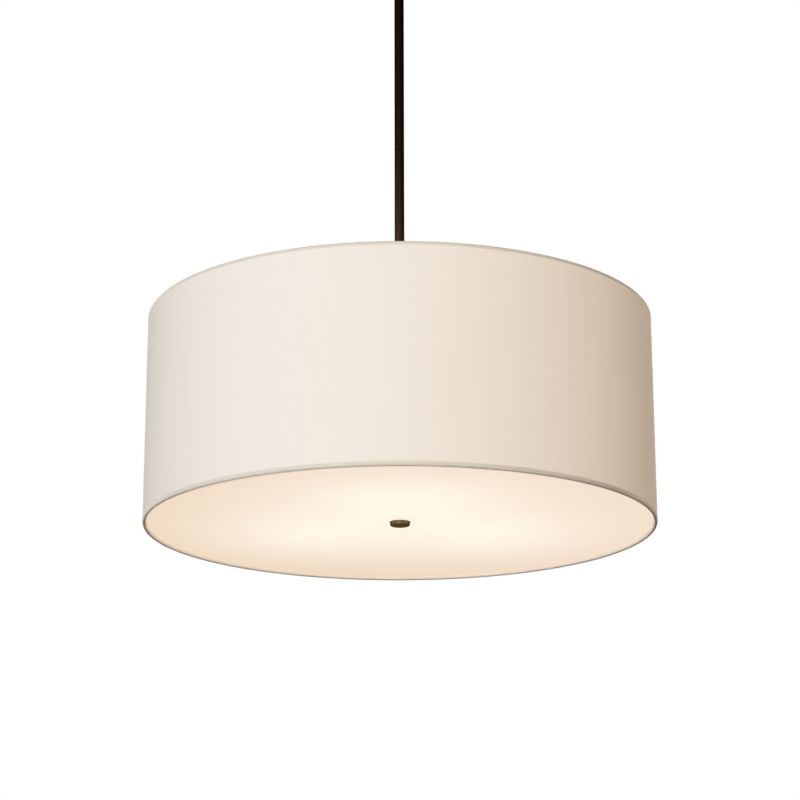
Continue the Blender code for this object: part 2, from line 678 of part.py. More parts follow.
def contact_outline():
    """Side view of the sprung centre contact: a foot on the socket's floor and a tongue below the lamp's tip."""
    foot = SOCKET_FLOOR + SEAT_GAP
    tip = CAP_TIP - SEAT_GAP
    half = CONTACT_HALF_LENGTH
    strip = CONTACT_STRIP
    knee = foot + (tip - foot) / 3
    return [
        (-half, foot),
        (half - strip, foot),
        (half, knee),
        (-half / 3, tip),
        (-half / 2, tip - strip),
        (half - 2 * strip, knee),
        (half - 2 * strip, foot + strip),
        (-half, foot + strip),
    ]


def make_lamp(number, azimuth, cluster, finishes):
    lamp = holder(f"lamp_{number}", cluster)
    place, turn, _ = lamp_place(azimuth).decompose()
    lamp.location = place
    lamp.rotation_euler = turn.to_euler()

    fit = NIPPLE_RADIUS + SEAT_GAP
    nipple = sleeve(NIPPLE_RADIUS - NIPPLE_WALL, NIPPLE_RADIUS, -NIPPLE_INSIDE, SOCKET_FLOOR - SEAT_GAP)
    turned(f"socket_nipple_{number}", nipple, SMALL_SIDES, finishes["steel"], lamp)
    nut_top = -CLUSTER_WALL - SEAT_GAP
    ends = (nut_top - NIPPLE_NUT_HEIGHT, nut_top)
    nut(f"nipple_nut_{number}", NIPPLE_NUT_FLATS, fit, ends, finishes["brass"], lamp)

    base = SEAT_GAP
    neck = SOCKET_RADIUS - SOCKET_NECK_INSET
    outline = [(fit, base), (neck, base), (neck, base + SOCKET_SHOULDER)]
    outline += [(SOCKET_RADIUS, base + SOCKET_SHOULDER + SOCKET_NECK_INSET)]
    outline += [(SOCKET_RADIUS, SOCKET_MOUTH - SOCKET_LIP), (SOCKET_RADIUS - SOCKET_LIP, SOCKET_MOUTH)]
    outline += [(SOCKET_BORE, SOCKET_MOUTH), (SOCKET_BORE, SOCKET_FLOOR), (fit, SOCKET_FLOOR)]
    turned(f"socket_{number}", outline, ROUND_SIDES, finishes["phenolic"], lamp)

    start = SOCKET_FLOOR + SCREW_SHELL_START
    shell = sleeve(SCREW_SHELL_BORE, SCREW_SHELL_BORE + SCREW_SHELL_WALL, start, start + SCREW_SHELL_LENGTH)
    turned(f"screw_shell_{number}", shell, LAMP_SIDES, finishes["brass"], lamp)

    strip = bmesh.new()
    add_slab(strip, contact_outline(), -CONTACT_WIDTH / 2, CONTACT_WIDTH / 2)
    upright = (math.pi / 2, 0, 0)
    solid(f"socket_contact_{number}", strip, finishes["brass"], lamp, turn=upright)

    bulb = holder(f"bulb_{number}_axis", lamp)
    cone_start = CAP_TIP + CAP_TIP_HEIGHT
    thread_start = cone_start + CAP_CONE_HEIGHT
    recess = CAP_RADIUS - CAP_SKIRT_WALL
    outline = [(0, CAP_TIP), (CAP_TIP_RADIUS, CAP_TIP), (CAP_TIP_RADIUS, cone_start)]
    outline += [(CAP_RADIUS, thread_start), (CAP_RADIUS, CAP_RIM), (recess, CAP_RIM)]
    outline += [(recess, CAP_RIM - CAP_RECESS), (0, CAP_RIM - CAP_RECESS)]
    turned(f"bulb_cap_{number}", outline, LAMP_SIDES, finishes["cap"], bulb)

    centre = (0, CAP_TIP + BULB_LENGTH - BULB_RADIUS)
    neck_radius = recess - SEAT_GAP
    neck_low = CAP_RIM - CAP_RECESS + SEAT_GAP
    shoulder = CAP_RIM + BULB_SHOULDER_LENGTH
    bore = neck_radius - BULB_WALL
    outline = [(neck_radius, neck_low), (neck_radius, shoulder)]
    outline += arc(centre, BULB_RADIUS, BULB_NECK_TURN_DEG, 90, 6)
    outline += arc(centre, BULB_RADIUS - BULB_WALL, 90, BULB_NECK_TURN_DEG, 6)
    outline += [(bore, shoulder), (bore, neck_low)]
    turned(f"bulb_glass_{number}", outline, LAMP_SIDES, finishes["glass"], bulb)


def make_centre_rod(cluster, steel, brass):
    """The rod hangs from the cluster's floor between two nuts and ends in a hexagonal coupler."""
    floor = FLOOR_Z - LID_TOP_Z
    inside = floor + CLUSTER_WALL + SEAT_GAP
    rod_top = inside + ROD_NUT_HEIGHT + ROD_ABOVE_NUT
    coupler_low = COUPLER_Z - LID_TOP_Z
    coupler_top = coupler_low + COUPLER_HEIGHT
    rod_end = coupler_top - ROD_IN_COUPLER
    turned("centre_rod", column(ROD_RADIUS, rod_end, rod_top), SMALL_SIDES, steel, cluster)
    nut("rod_nut_upper", ROD_NUT_FLATS, ROD_BORE, (inside, inside + ROD_NUT_HEIGHT), brass, cluster)
    outside = floor - SEAT_GAP
    nut("rod_nut_lower", ROD_NUT_FLATS, ROD_BORE, (outside - ROD_NUT_HEIGHT, outside), brass, cluster)
    nut("rod_coupler", COUPLER_FLATS, ROD_BORE, (coupler_low, coupler_top), steel, cluster)


def droop(share):
    """Sag of a round plate held at its centre, as a share of the sag at its edge."""
    if share <= 0:
        return 0
    square = share * share
    return (
        square * (DROOP_SQUARE_SHARE - DROOP_LOG_SHARE * math.log(share))
        + DROOP_QUARTIC_SHARE * square * square
    )


def make_diffuser(carrier, acrylic, rubber):
    """Heights are above the diffuser's underside at its centre."""
    bore = ROD_BORE + DIFFUSER_BORE_SPARE
    shares = (bore / DIFFUSER_RADIUS, *DIFFUSER_RING_SHARES)
    under = [(DIFFUSER_RADIUS * share, -DIFFUSER_DROOP * droop(share)) for share in shares]
    over = [(radius, height + DIFFUSER_THICKNESS) for radius, height in reversed(under)]
    turned("diffuser", under + over, DRUM_SIDES, acrylic, carrier)
    low = UPPER_WASHER_Z - DIFFUSER_Z
    washer = sleeve(ROD_BORE, UPPER_WASHER_RADIUS, low, low + UPPER_WASHER_THICKNESS)
    turned("upper_washer", washer, ROUND_SIDES, rubber, carrier)
    washer = sleeve(ROD_BORE, LOWER_WASHER_RADIUS, -SEAT_GAP - LOWER_WASHER_THICKNESS, -SEAT_GAP)
    turned("lower_washer", washer, ROUND_SIDES, rubber, carrier)


def make_finial(axis, bronze):
    """A low tapered disc with a crowned underside, a hollow for the washer and a stud that enters the coupler."""
    rim = -SEAT_GAP
    hollow = LOWER_WASHER_RADIUS + SEAT_GAP
    hollow_floor = -SEAT_GAP - LOWER_WASHER_THICKNESS - SEAT_GAP
    stud_top = COUPLER_Z - DIFFUSER_Z + FINIAL_STUD_IN_COUPLER
    low = rim - FINIAL_HEIGHT
    flat = FINIAL_LOW_RADIUS - FINIAL_EDGE
    crown_radius = (flat * flat + FINIAL_CROWN * FINIAL_CROWN) / (2 * FINIAL_CROWN)
    crown_turn = math.degrees(math.asin(flat / crown_radius))
    crown = arc((0, low - FINIAL_CROWN + crown_radius), crown_radius, -90, -90 + crown_turn, 3)
    outline = crown + [(FINIAL_LOW_RADIUS, low + FINIAL_EDGE), (FINIAL_TOP_RADIUS, rim - FINIAL_EDGE)]
    outline += [(FINIAL_TOP_RADIUS, rim), (hollow, rim), (hollow, hollow_floor)]
    outline += [(ROD_RADIUS, hollow_floor), (ROD_RADIUS, stud_top), (0, stud_top)]
    turned("finial", outline, ROUND_SIDES, bronze, axis)


def main():
    clear_scene()
    bronze = finish_material("dark_bronze", (0.045, 0.032, 0.024), 0.42, 0.9)
    steel = finish_material("zinc_plated_steel", (0.55, 0.55, 0.54), 0.38, 1.0)
    cast = finish_material("white_cast_metal", (0.82, 0.81, 0.78), 0.45)
    brass = finish_material("brass", (0.62, 0.46, 0.20), 0.35, 1.0)
    green = finish_material("green_screw", (0.05, 0.32, 0.10), 0.4, 0.6)
    nylon = finish_material("nylon", (0.70, 0.68, 0.62), 0.5)
    insulation = finish_material("lead_insulation", (0.03, 0.03, 0.03), 0.5)
    connector = finish_material("connector_plastic", (0.75, 0.32, 0.06), 0.45)
    fabric = finish_material("cream_fabric", (0.86, 0.79, 0.70), 0.9)
    styrene = finish_material("white_styrene", (0.90, 0.88, 0.84), 0.55)
    acrylic = finish_material("frosted_acrylic", (0.93, 0.87, 0.78), 0.6)
    rubber = finish_material("clear_rubber", (0.60, 0.58, 0.55), 0.7)
    finishes = {
        "phenolic": finish_material("white_phenolic", (0.80, 0.79, 0.76), 0.4),
        "brass": brass,
        "steel": steel,
        "cap": finish_material("lamp_cap", (0.70, 0.70, 0.71), 0.3, 1.0),
        "glass": finish_material("lamp_glass", (0.95, 0.92, 0.86), 0.25, alpha=0.9),
    }

    _, underside_depth, _ = seat_places()
    ball_z = underside_depth - CANOPY_HEIGHT
    ceiling = holder("ceiling")
    yaw = holder("swivel_yaw_axis", ceiling, (0, 0, ball_z))
    tilt = holder("swivel_tilt_axis", yaw)
    shade = holder("shade_frame", tilt, (0, 0, HEM_Z - ball_z))
    cluster = holder("lamp_cluster", tilt, (0, 0, LID_TOP_Z - ball_z))
    carrier = holder("diffuser_travel_axis", tilt, (0, 0, DIFFUSER_Z - ball_z))
    finial_axis = holder("finial_axis", carrier)

    make_crossbar(ceiling, steel, green, brass)
    make_canopy(ceiling, bronze)
    make_swivel(yaw, tilt, nylon, bronze, brass)
    make_stem(tilt, ball_z, bronze, insulation, connector)
    make_shade(shade, fabric, styrene, steel)
    make_spider(shade, steel)
    make_cluster(cluster, cast, steel, brass)
    for number, azimuth in enumerate(LAMP_AZIMUTHS_DEG, start=1):
        make_lamp(number, azimuth, cluster, finishes)
    make_centre_rod(cluster, steel, brass)
    make_diffuser(carrier, acrylic, rubber)
    make_finial(finial_axis, bronze)


main()
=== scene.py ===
# %% [markdown]
# # A drum chandelier, dressed for its photograph
#
# The CAD model gives every solid its size and its place. This lesson keeps those places and works out the
# surfaces that the eye sees: a woven drum, a frosted disc lit from behind, dark bronze fittings and the
# lampholders inside. Lengths are metres and Z is up. The origin is where the crossbar meets the ceiling.

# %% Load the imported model
from math import acos, asin, atan2, cos, degrees, hypot, pi, radians, sin, tan, tau

import bmesh
import bpy
import numpy as np
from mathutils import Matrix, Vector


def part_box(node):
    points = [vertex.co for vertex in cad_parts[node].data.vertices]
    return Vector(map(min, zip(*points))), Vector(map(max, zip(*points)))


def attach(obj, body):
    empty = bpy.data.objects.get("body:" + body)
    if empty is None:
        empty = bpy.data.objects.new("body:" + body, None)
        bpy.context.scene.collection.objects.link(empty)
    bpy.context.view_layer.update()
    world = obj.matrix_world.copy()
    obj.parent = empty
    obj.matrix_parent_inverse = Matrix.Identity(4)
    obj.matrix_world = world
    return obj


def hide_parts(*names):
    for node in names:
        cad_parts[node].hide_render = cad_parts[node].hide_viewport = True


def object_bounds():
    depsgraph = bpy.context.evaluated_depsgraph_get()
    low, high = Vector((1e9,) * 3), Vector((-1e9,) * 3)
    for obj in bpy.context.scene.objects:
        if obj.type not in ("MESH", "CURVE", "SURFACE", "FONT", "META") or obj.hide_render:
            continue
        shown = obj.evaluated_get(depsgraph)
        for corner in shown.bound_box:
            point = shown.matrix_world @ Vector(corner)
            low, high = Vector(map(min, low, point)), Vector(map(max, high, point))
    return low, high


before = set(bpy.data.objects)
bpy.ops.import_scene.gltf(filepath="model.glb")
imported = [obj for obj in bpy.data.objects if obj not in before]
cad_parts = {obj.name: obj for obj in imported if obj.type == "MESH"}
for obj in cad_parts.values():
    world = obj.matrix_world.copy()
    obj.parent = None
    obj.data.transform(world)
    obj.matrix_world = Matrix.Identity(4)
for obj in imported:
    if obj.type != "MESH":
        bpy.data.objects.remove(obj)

join = np.concatenate


def corners_of(box):
    """The lowest and highest corner of a box as plain lists."""
    return [[float(value) for value in corner] for corner in box]


cad_box = corners_of(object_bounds())
print("CAD box", cad_box)

# %% [markdown]
# ## The camera
#
# The photograph looks up at the drum from in front, so the whole round of the disc shows. The lens and the pitch
# were fitted to the drum's two rims, and a tenth of a degree of roll is the best that one camera can do for both.
# The camera is set straight away, because each later colour and size is judged through it. The view transform is
# Standard, so that a written colour stays itself.


# %% Camera
def add_object(name, data):
    """A new object in the scene."""
    made = bpy.data.objects.new(name, data)
    bpy.context.scene.collection.objects.link(made)
    return made


CAMERA_PITCH_DEG = 15.949
CAMERA_ROLL_DEG = 0.10
camera = add_object("camera", bpy.data.cameras.new("camera"))
camera.data.sensor_width = 36
camera.data.lens = 105.7
camera.location = (-0.0011, -2.727, -1.3817)
camera.rotation_euler = (radians(90 + CAMERA_PITCH_DEG), radians(CAMERA_ROLL_DEG), 0)
bpy.context.scene.camera = camera
bpy.context.scene.view_settings.view_transform = "Standard"
print("camera", tuple(round(value, 3) for value in camera.location), "pitch", CAMERA_PITCH_DEG)

# %% [markdown]
# ## Nodes in short
#
# In Blender each node of a sky or a finish is added, set and linked by hand, and a formula takes a page. This
# class adds a node together with what feeds it, so that a line reads like the formula it stands for.


# %% Node helpers
class Nodes:
    """A node tree, with short ways to add a node and link it."""

    def __init__(self, tree):
        self.tree = tree

    def feed(self, sockets, **inputs):
        """Sets or links inputs, named with _ for a space, or numbered as i0, i1 and so on."""
        for label, value in inputs.items():
            socket = sockets[int(label[1:]) if label[1:].isdigit() else label.replace("_", " ")]
            if isinstance(value, bpy.types.NodeSocket):
                self.tree.links.new(value, socket)
            else:
                socket.default_value = value

    def add(self, kind, settings=(), **inputs):
        """Adds a node with its settings and inputs, and gives its outputs."""
        made = self.tree.nodes.new("ShaderNode" + kind)
        for label, value in dict(settings).items():
            setattr(made, label, value)
        self.feed(made.inputs, **inputs)
        return made.outputs

    def __call__(self, operation, first, second=0, third=0, clamp=False):
        """A step of arithmetic."""
        settings = {"operation": operation, "use_clamp": clamp}
        return self.add("Math", settings, i0=first, i1=second, i2=third)[0]

    def total(self, first, *rest):
        """The sum of several values."""
        for value in rest:
            first = self("ADD", first, value)
        return first

    def ramp(self, value, low, high, start=0.0, end=1.0, smooth=False):
        """start where the value is low, end where it is high, and a straight or smooth change between."""
        settings = {"interpolation_type": "SMOOTHSTEP" if smooth else "LINEAR"}
        return self.add("MapRange", settings, Value=value, i1=low, i2=high, i3=start, i4=end)[0]

    def mix(self, factor, first, second, blend="MIX"):
        """A mix of two colours by a factor from 0 to 1."""
        return self.add("Mix", {"data_type": "RGBA", "blend_type": blend}, i0=factor, i6=first, i7=second)[2]

    def scaled(self, vector, factor):
        return self.add("VectorMath", {"operation": "SCALE"}, i0=vector, Scale=factor)[0]

    def noise(self, vector, scale, detail, roughness=0.5):
        return self.add("TexNoise", Vector=vector, Scale=scale, Detail=detail, Roughness=roughness)[0]

    def bump(self, height, strength, distance):
        return self.add("Bump", Height=height, Strength=strength, Distance=distance)["Normal"]

    def place(self):
        """Where a point lies on the object."""
        return self.add("TexCoord")["Object"]

    def use(self, group, **inputs):
        """Places a node group by name, and gives its outputs."""
        return self.add("Group", {"node_tree": bpy.data.node_groups[group]}, **inputs)

    def clouds(self, colour, cloud, amount, scale):
        """Colour and mask of the group for cloudiness."""
        return self.use("cloudiness", Colour=(*colour, 1), Cloud_Colour=(*cloud, 1), Amount=amount, Scale=scale)


BLACK, WHITE = (0, 0, 0, 1), (1, 1, 1, 1)

# %% [markdown]
# ## Studio light
#
# Soft lamps in front and to the left give the drum its brightest stretch a little left of the middle, and a
# warm lamp on the right keeps the far side from going grey. A high lamp behind lets the back be seen.
# The world is a quiet grey, dimmer from below and from straight overhead, so that the hems' undersides and their
# crests turn dark. It is white where the camera, a reflection or glass looks at it.


# %% Lamps and world
def soft_lamp(name, watts, size, place, colour=(1, 1, 1)):
    """A square area lamp that faces the drum's middle and that the camera doesn't see."""
    lamp = add_object(name, bpy.data.lights.new(name, "AREA"))
    lamp.data.energy, lamp.data.size, lamp.data.color = watts, size, colour
    aim = np.array(DRUM_MIDDLE, float) - np.array(place, float)
    level = hypot(aim[0], aim[1])
    lamp.location = place
    lamp.rotation_euler = (atan2(level, -aim[2]), 0, atan2(-aim[0], aim[1]))
    lamp.visible_camera = False


DRUM_MIDDLE = (0, 0, -0.635)
soft_lamp("key", 60, 2.2, (-0.572, -2.945, -0.6), (0.985, 0.987, 1.0))
soft_lamp("left_fill", 27.9, 2.2, (-2.898, -0.776, -0.6), (1.0, 0.98, 0.90))
soft_lamp("right_fill", 24.2, 2.2, (2.598, -1.5, -0.6), (1.0, 0.715, 0.36))
soft_lamp("back_fill", 84, 2.2, (0.5, 2.9, 0.75), (1.0, 0.97, 0.93))
soft_lamp("ceiling_fill", 5, 2.4, (0, 0, 2.2))

SKY_ABOVE, SKY_BELOW, ZENITH_SHARE = 0.34, 0.03, 0.3
world = bpy.data.worlds.new("studio")
bpy.context.scene.world = world
world.use_nodes = True
world.node_tree.nodes.clear()
sky = Nodes(world.node_tree)
height = sky.add("SeparateXYZ", Vector=sky.add("TexCoord")["Generated"])["Z"]
grey = sky.ramp(height, -0.5, 0.3, SKY_BELOW, SKY_ABOVE, smooth=True)
grey = sky("MULTIPLY", grey, sky.ramp(height, 0.35, 1, 1, ZENITH_SHARE))
quiet = sky.add("Background", Color=grey, Strength=1)[0]
seen = sky.add("Background", Color=WHITE, Strength=1)[0]
path = sky.add("LightPath")
looks = sky("MAXIMUM", path["Is Camera Ray"], path["Is Glossy Ray"])
looks = sky("MAXIMUM", looks, path["Is Transmission Ray"])
sky.add("OutputWorld", Surface=sky.add("MixShader", i0=looks, i1=quiet, i2=seen)[0])

# %% [markdown]
# ## Surfaces from arrays
#
# Nearly every piece here is turned, drawn or rolled: one outline carried round an axis or along a path. So one
# helper rounds an outline's corners, one carries it round, and one makes a grid of points into a mesh. The
# rounding also marks how near each point is to an outward corner, and the finishes rub the metal bright there.

# %% From a grid of points to a mesh
WELD = 0.0000004
finishes = {}


def wear(piece, node_name, body="pendant"):
    """The piece stands for its CAD node, which is hidden, and moves with its CAD body."""
    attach(piece, body)
    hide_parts(node_name)
    print(piece.name, len(piece.data.polygons), "faces, for", node_name)


def skin(name, grid, finish, node_name, body="pendant", closed=True, uv=None, edge=None, smooth_deg=40):
    """A piece whose point (i, j) is step i of the outline at step j of the path.

    Each face joins four neighbours. Rows that shrink to one point become a pole with triangles, and the faces
    are turned round if the volume inside them comes out negative. uv gives metres round and along the surface.
    """
    rows, columns = grid.shape[:2]
    last_row = rows if closed else rows - 1
    row, column = np.indices((last_row, columns))
    face_rows = np.stack([row, row, row + 1, row + 1], axis=-1).reshape(-1, 4)
    face_columns = np.stack([column, column + 1, column + 1, column], axis=-1).reshape(-1, 4)
    every = grid.reshape(-1, 3)
    _, first, same = np.unique(np.round(every / WELD), axis=0, return_index=True, return_inverse=True)
    points = every[first]
    faces = same.reshape(-1)[(face_rows % rows) * columns + face_columns % columns]
    a, b, c, d = (points[faces[:, corner]] for corner in range(4))
    volume = (np.cross(a, b) * c + np.cross(a, c) * d).sum() / 6
    keep = faces != np.roll(faces, 1, axis=1)
    real = keep.sum(axis=1) >= 3
    keep = keep[real]
    counts = keep.sum(axis=1)
    mesh = bpy.data.meshes.new(name)
    mesh.vertices.add(len(points))
    mesh.vertices.foreach_set("co", points.ravel())
    mesh.loops.add(int(counts.sum()))
    mesh.loops.foreach_set("vertex_index", faces[real][keep].astype(np.int32))
    mesh.polygons.add(len(counts))
    mesh.polygons.foreach_set("loop_start", (np.cumsum(counts) - counts).astype(np.int32))
    mesh.update(calc_edges=True)
    if uv is not None:
        around, along = uv
        values = np.stack([around[face_columns], along[face_rows]], axis=-1)[real][keep]
        mesh.uv_layers.new(name="cloth").uv.foreach_set("vector", values.ravel())
    if edge is not None:
        marks = mesh.attributes.new("edge", "FLOAT", "POINT")
        spread = np.broadcast_to(edge.reshape(rows, -1), (rows, columns))
        marks.data.foreach_set("value", spread.ravel()[first].astype(np.float32))
    if volume < 0:
        mesh.flip_normals()
    mesh.shade_smooth()
    mesh.set_sharp_from_angle(angle=radians(smooth_deg))
    mesh.materials.append(finishes[finish])
    piece = add_object(name, mesh)
    wear(piece, node_name, body)
    return piece


def copies(name, node_name, grids, finish, body="pendant", **options):
    """Numbered pieces, one for each grid. A # in the body's name stands for the number."""
    for number, grid in enumerate(grids, start=1):
        node, ridden = f"{node_name}_{number}", body.replace("#", str(number))
        skin(f"{name}_{number}", grid, finish, node, ridden, **options)


# %% Rounded outlines and turned surfaces
def rounded(corners, radius=0.0003, closed=True, steps=4, guard=0.0004):
    """Rounds an outline's corners, and says how near each point is to an outward corner.

    Between points A and B on a corner's two sides, the outline is (1-s)^2 A + 2 s (1-s) P + s^2 B, where P is
    the sharp corner. A guard point beyond A and B keeps the flats flat.
    """
    corners = np.asarray(corners, float)
    before = np.roll(corners, 1, axis=0) - corners
    after = np.roll(corners, -1, axis=0) - corners
    if not closed:
        before[0] = -after[0]
        after[-1] = -before[-1]
    room_before, room_after = np.linalg.norm(before, axis=1), np.linalg.norm(after, axis=1)
    before /= room_before[:, None]
    after /= room_after[:, None]
    turn = pi - np.arccos(np.clip((before * after).sum(axis=1), -1, 1))
    room = np.minimum(room_before, room_after)
    cut = np.minimum(radius * np.tan(np.minimum(turn, 2.6) / 2), 0.4 * room)
    spare = np.minimum(guard, 0.09 * room)
    if not closed:
        cut[[0, -1]] = 0
        spare[[0, -1]] = 0
    s = np.linspace(0, 1, steps + 1)[:, None]
    sharp, before, after = corners[:, None], before[:, None], after[:, None]
    cut, spare = cut[:, None, None], spare[:, None, None]
    start, end = sharp + before * cut, sharp + after * cut
    curve = (1 - s) ** 2 * start + 2 * s * (1 - s) * sharp + s**2 * end
    outline = join([start + before * spare, curve, end + after * spare], axis=1).reshape(-1, 2)
    x, y = corners.T
    area = (x * np.roll(y, -1) - np.roll(x, -1) * y).sum()
    outward = (after[..., 0] * before[..., 1] - after[..., 1] * before[..., 0]) * area > 0
    return outline, (outward * join([[0], 1 - (2 * s[:, 0] - 1) ** 2 * 0.6, [0]])).ravel()


def angles(sides):
    """Equal steps of angle round a circle."""
    return np.arange(sides) * tau / sides


def swept(radius, height, sides):
    """Carries radii and heights round Z: x = r cos t, y = r sin t. The radius may differ from angle to angle."""
    turn = angles(sides)
    x, y = radius * np.cos(turn), radius * np.sin(turn)
    return np.stack([x, y, np.broadcast_to(height, x.shape)], axis=-1)


def spin(outline, sides):
    """Carries an outline of (radius, height) points round Z."""
    return swept(outline[:, :1], outline[:, 1:], sides)


def turned_piece(name, corners, finish, node_name, body="pendant", radius=0.0003, sides=72):
    """A piece spun from a rounded outline."""
    outline, edge = rounded(corners, radius)
    skin(name, spin(outline, sides), finish, node_name, body, edge=edge)


def tube(inner, outer, low, high):
    """The four corners of a straight ring."""
    return [(inner, low), (outer, low), (outer, high), (inner, high)]


def span(name):
    """Lowest and highest point of a CAD node."""
    low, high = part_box(name)
    return low[2], high[2]


# %% [markdown]
# ## Finishes
#
# A finish is more than a colour. Each one has broad cloudiness, a fine grain, and wear where fingers and edges
# meet. Effects that several finishes share are node groups with named inputs, so each metal can ask for its own
# strength. The groups only hand out colours, masks and heights, and the shader itself stays in the material.


# %% Groups for cloudiness, rubbed edges and grain
def group(name, inputs, **outputs):
    """A shader node group with named sockets: inputs lists (name, kind, value), outputs are name=kind."""
    tree = bpy.data.node_groups.new(name, "ShaderNodeTree")
    for label, kind, *value in inputs:
        socket = tree.interface.new_socket(name=label, in_out="INPUT", socket_type="NodeSocket" + kind)
        if value:
            socket.default_value = value[0]
    for label, kind in outputs.items():
        tree.interface.new_socket(name=label, in_out="OUTPUT", socket_type="NodeSocket" + kind)
    return Nodes(tree), tree.nodes.new("NodeGroupInput").outputs, tree.nodes.new("NodeGroupOutput").inputs


asks = [("Colour", "Color"), ("Cloud Colour", "Color"), ("Amount", "Float", 0.5), ("Scale", "Float", 60.0)]
nodes, given, result = group("cloudiness", asks, Colour="Color", Mask="Float")
broad = nodes.noise(nodes.place(), given["Scale"], 5, 0.62)
mask = nodes("MULTIPLY", nodes.ramp(broad, 0.38, 0.66, smooth=True), given["Amount"], clamp=True)
nodes.feed(result, Colour=nodes.mix(mask, given["Colour"], given["Cloud Colour"]), Mask=mask)

asks = [("Colour", "Color"), ("Bare Colour", "Color"), ("Amount", "Float", 0.7), ("Scale", "Float", 700.0)]
nodes, given, result = group("rubbed_edge", asks, Colour="Color", Mask="Float")
nearness = nodes.add("Attribute", {"attribute_name": "edge"})["Fac"]
broken = nodes.noise(nodes.place(), given["Scale"], 4, 0.6)
worn = nodes.ramp(nodes("MULTIPLY_ADD", nearness, 0.75, broken), 0.86, 1.3, smooth=True)
mask = nodes("MULTIPLY", worn, given["Amount"], clamp=True)
nodes.feed(result, Colour=nodes.mix(mask, given["Colour"], given["Bare Colour"]), Mask=mask)

asks = [("Scale", "Float", 900.0), ("Stretch", "Vector", (1.0, 1.0, 1.0))]
nodes, given, result = group("grain", asks, Height="Float")
drawn = nodes.add("VectorMath", {"operation": "MULTIPLY"}, i0=nodes.place(), i1=given["Stretch"])[0]
nodes.feed(result, Height=nodes.noise(drawn, given["Scale"], 3, 0.55))
print("node groups:", ", ".join(made.name for made in bpy.data.node_groups))

# %% [markdown]
# ### One recipe for hard finishes
#
# Bronze, steel, brass, cast metal, plastic and rubber differ in colour, gloss and grain, but they are dressed the
# same way: a base colour with clouds in it, bright or dark edges, roughness that follows the clouds, and a fine
# grain as bump. A recipe with those as its measures keeps the finishes alike where they should be. A thick dark
# patina keeps little of a grazing reflection, so the bronzes have a small rim.


# %% Hard finishes
def shaded(name, metallic=0.0, specular=0.5):
    """A new material's nodes and its Principled shader's inputs."""
    material = finishes[name] = bpy.data.materials.new(name)
    material.use_nodes = True
    shader = material.node_tree.nodes["Principled BSDF"].inputs
    shader["Metallic"].default_value = metallic
    shader["Specular IOR Level"].default_value = specular
    return Nodes(material.node_tree), shader


def hard_finish(name, colour, cloud, bare, rough, metallic, clouds, rub, grain, rim=1.0, stretch=(1.0, 1.0, 1.0)):
    """colour, cloud and bare are linear colours; rough is its least and most; clouds is (amount, scale);
    rub is the wear on edges; grain is (scale, strength); rim is how much of a grazing reflection is left."""
    nodes, shader = shaded(name, metallic)
    cloudy = nodes.clouds(colour, cloud, *clouds)
    rubbed = nodes.use("rubbed_edge", Colour=cloudy["Colour"], Bare_Colour=(*bare, 1), Amount=rub)
    fine = nodes.use("grain", Scale=grain[0], Stretch=stretch)["Height"]
    blend = nodes("MULTIPLY_ADD", fine, 0.5, cloudy["Mask"])
    nodes.feed(
        shader, Specular_Tint=(rim, rim, rim, 1), Base_Color=rubbed["Colour"],
        Roughness=nodes.ramp(blend, 0.1, 0.9, *rough), Normal=nodes.bump(fine, grain[1], 0.0005),
    )
    finishes[name].diffuse_color = (*colour, 1)
    return nodes, shader


for finish in (
    ("dark_bronze", (0.0120, 0.0075, 0.0048), (0.021, 0.0135, 0.0086), (0.12, 0.072, 0.040), (0.36, 0.50), 1,
     (0.8, 55), 0.55, (1600, 0.05), 0.15),
    # a lighter copy of the dark bronze, painted lighter as painted light from the disc's glow, with rubbed edges
    ("painted_lit_rubbed_bronze", (0.125, 0.078, 0.044), (0.165, 0.105, 0.062), (0.30, 0.20, 0.12), (0.34, 0.48), 1,
     (0.8, 160), 0.7, (1600, 0.05), 0.25),
    ("plated_steel", (0.50, 0.50, 0.48), (0.60, 0.585, 0.54), (0.72, 0.71, 0.69), (0.26, 0.44), 1,
     (0.7, 140), 0.5, (1200, 0.10)),
    ("brass", (0.56, 0.40, 0.16), (0.40, 0.27, 0.11), (0.78, 0.60, 0.30), (0.22, 0.42), 1,
     (0.7, 180), 0.6, (1500, 0.08)),
    ("green_screw", (0.03, 0.22, 0.07), (0.05, 0.32, 0.12), (0.45, 0.48, 0.40), (0.25, 0.40), 0.8,
     (0.6, 300), 0.8, (1500, 0.08)),
    ("white_cast_metal", (0.80, 0.785, 0.745), (0.74, 0.72, 0.67), (0.86, 0.85, 0.82), (0.38, 0.55), 0,
     (0.6, 70), 0.4, (650, 0.22)),
    ("phenolic", (0.79, 0.77, 0.725), (0.73, 0.70, 0.645), (0.86, 0.85, 0.82), (0.20, 0.34), 0,
     (0.5, 90), 0.3, (800, 0.05)),
    ("nylon", (0.66, 0.64, 0.575), (0.60, 0.575, 0.50), (0.75, 0.73, 0.68), (0.42, 0.58), 0,
     (0.6, 120), 0.4, (1300, 0.12)),
    ("lead_insulation", (0.022, 0.022, 0.023), (0.036, 0.035, 0.035), (0.08, 0.08, 0.08), (0.42, 0.60), 0,
     (0.6, 160), 0.2, (1800, 0.10)),
    ("connector_plastic", (0.62, 0.21, 0.035), (0.52, 0.16, 0.025), (0.75, 0.36, 0.12), (0.34, 0.50), 0,
     (0.5, 200), 0.4, (1200, 0.10)),
    ("washer_rubber", (0.47, 0.45, 0.41), (0.40, 0.375, 0.335), (0.58, 0.56, 0.53), (0.55, 0.72), 0,
     (0.6, 240), 0.3, (1500, 0.15)),
    ("lamp_cap", (0.62, 0.62, 0.62), (0.52, 0.515, 0.505), (0.80, 0.80, 0.79), (0.20, 0.36), 1,
     (0.6, 200), 0.5, (1300, 0.08)),
):
    hard_finish(*finish)
print("hard finishes:", len(finishes))
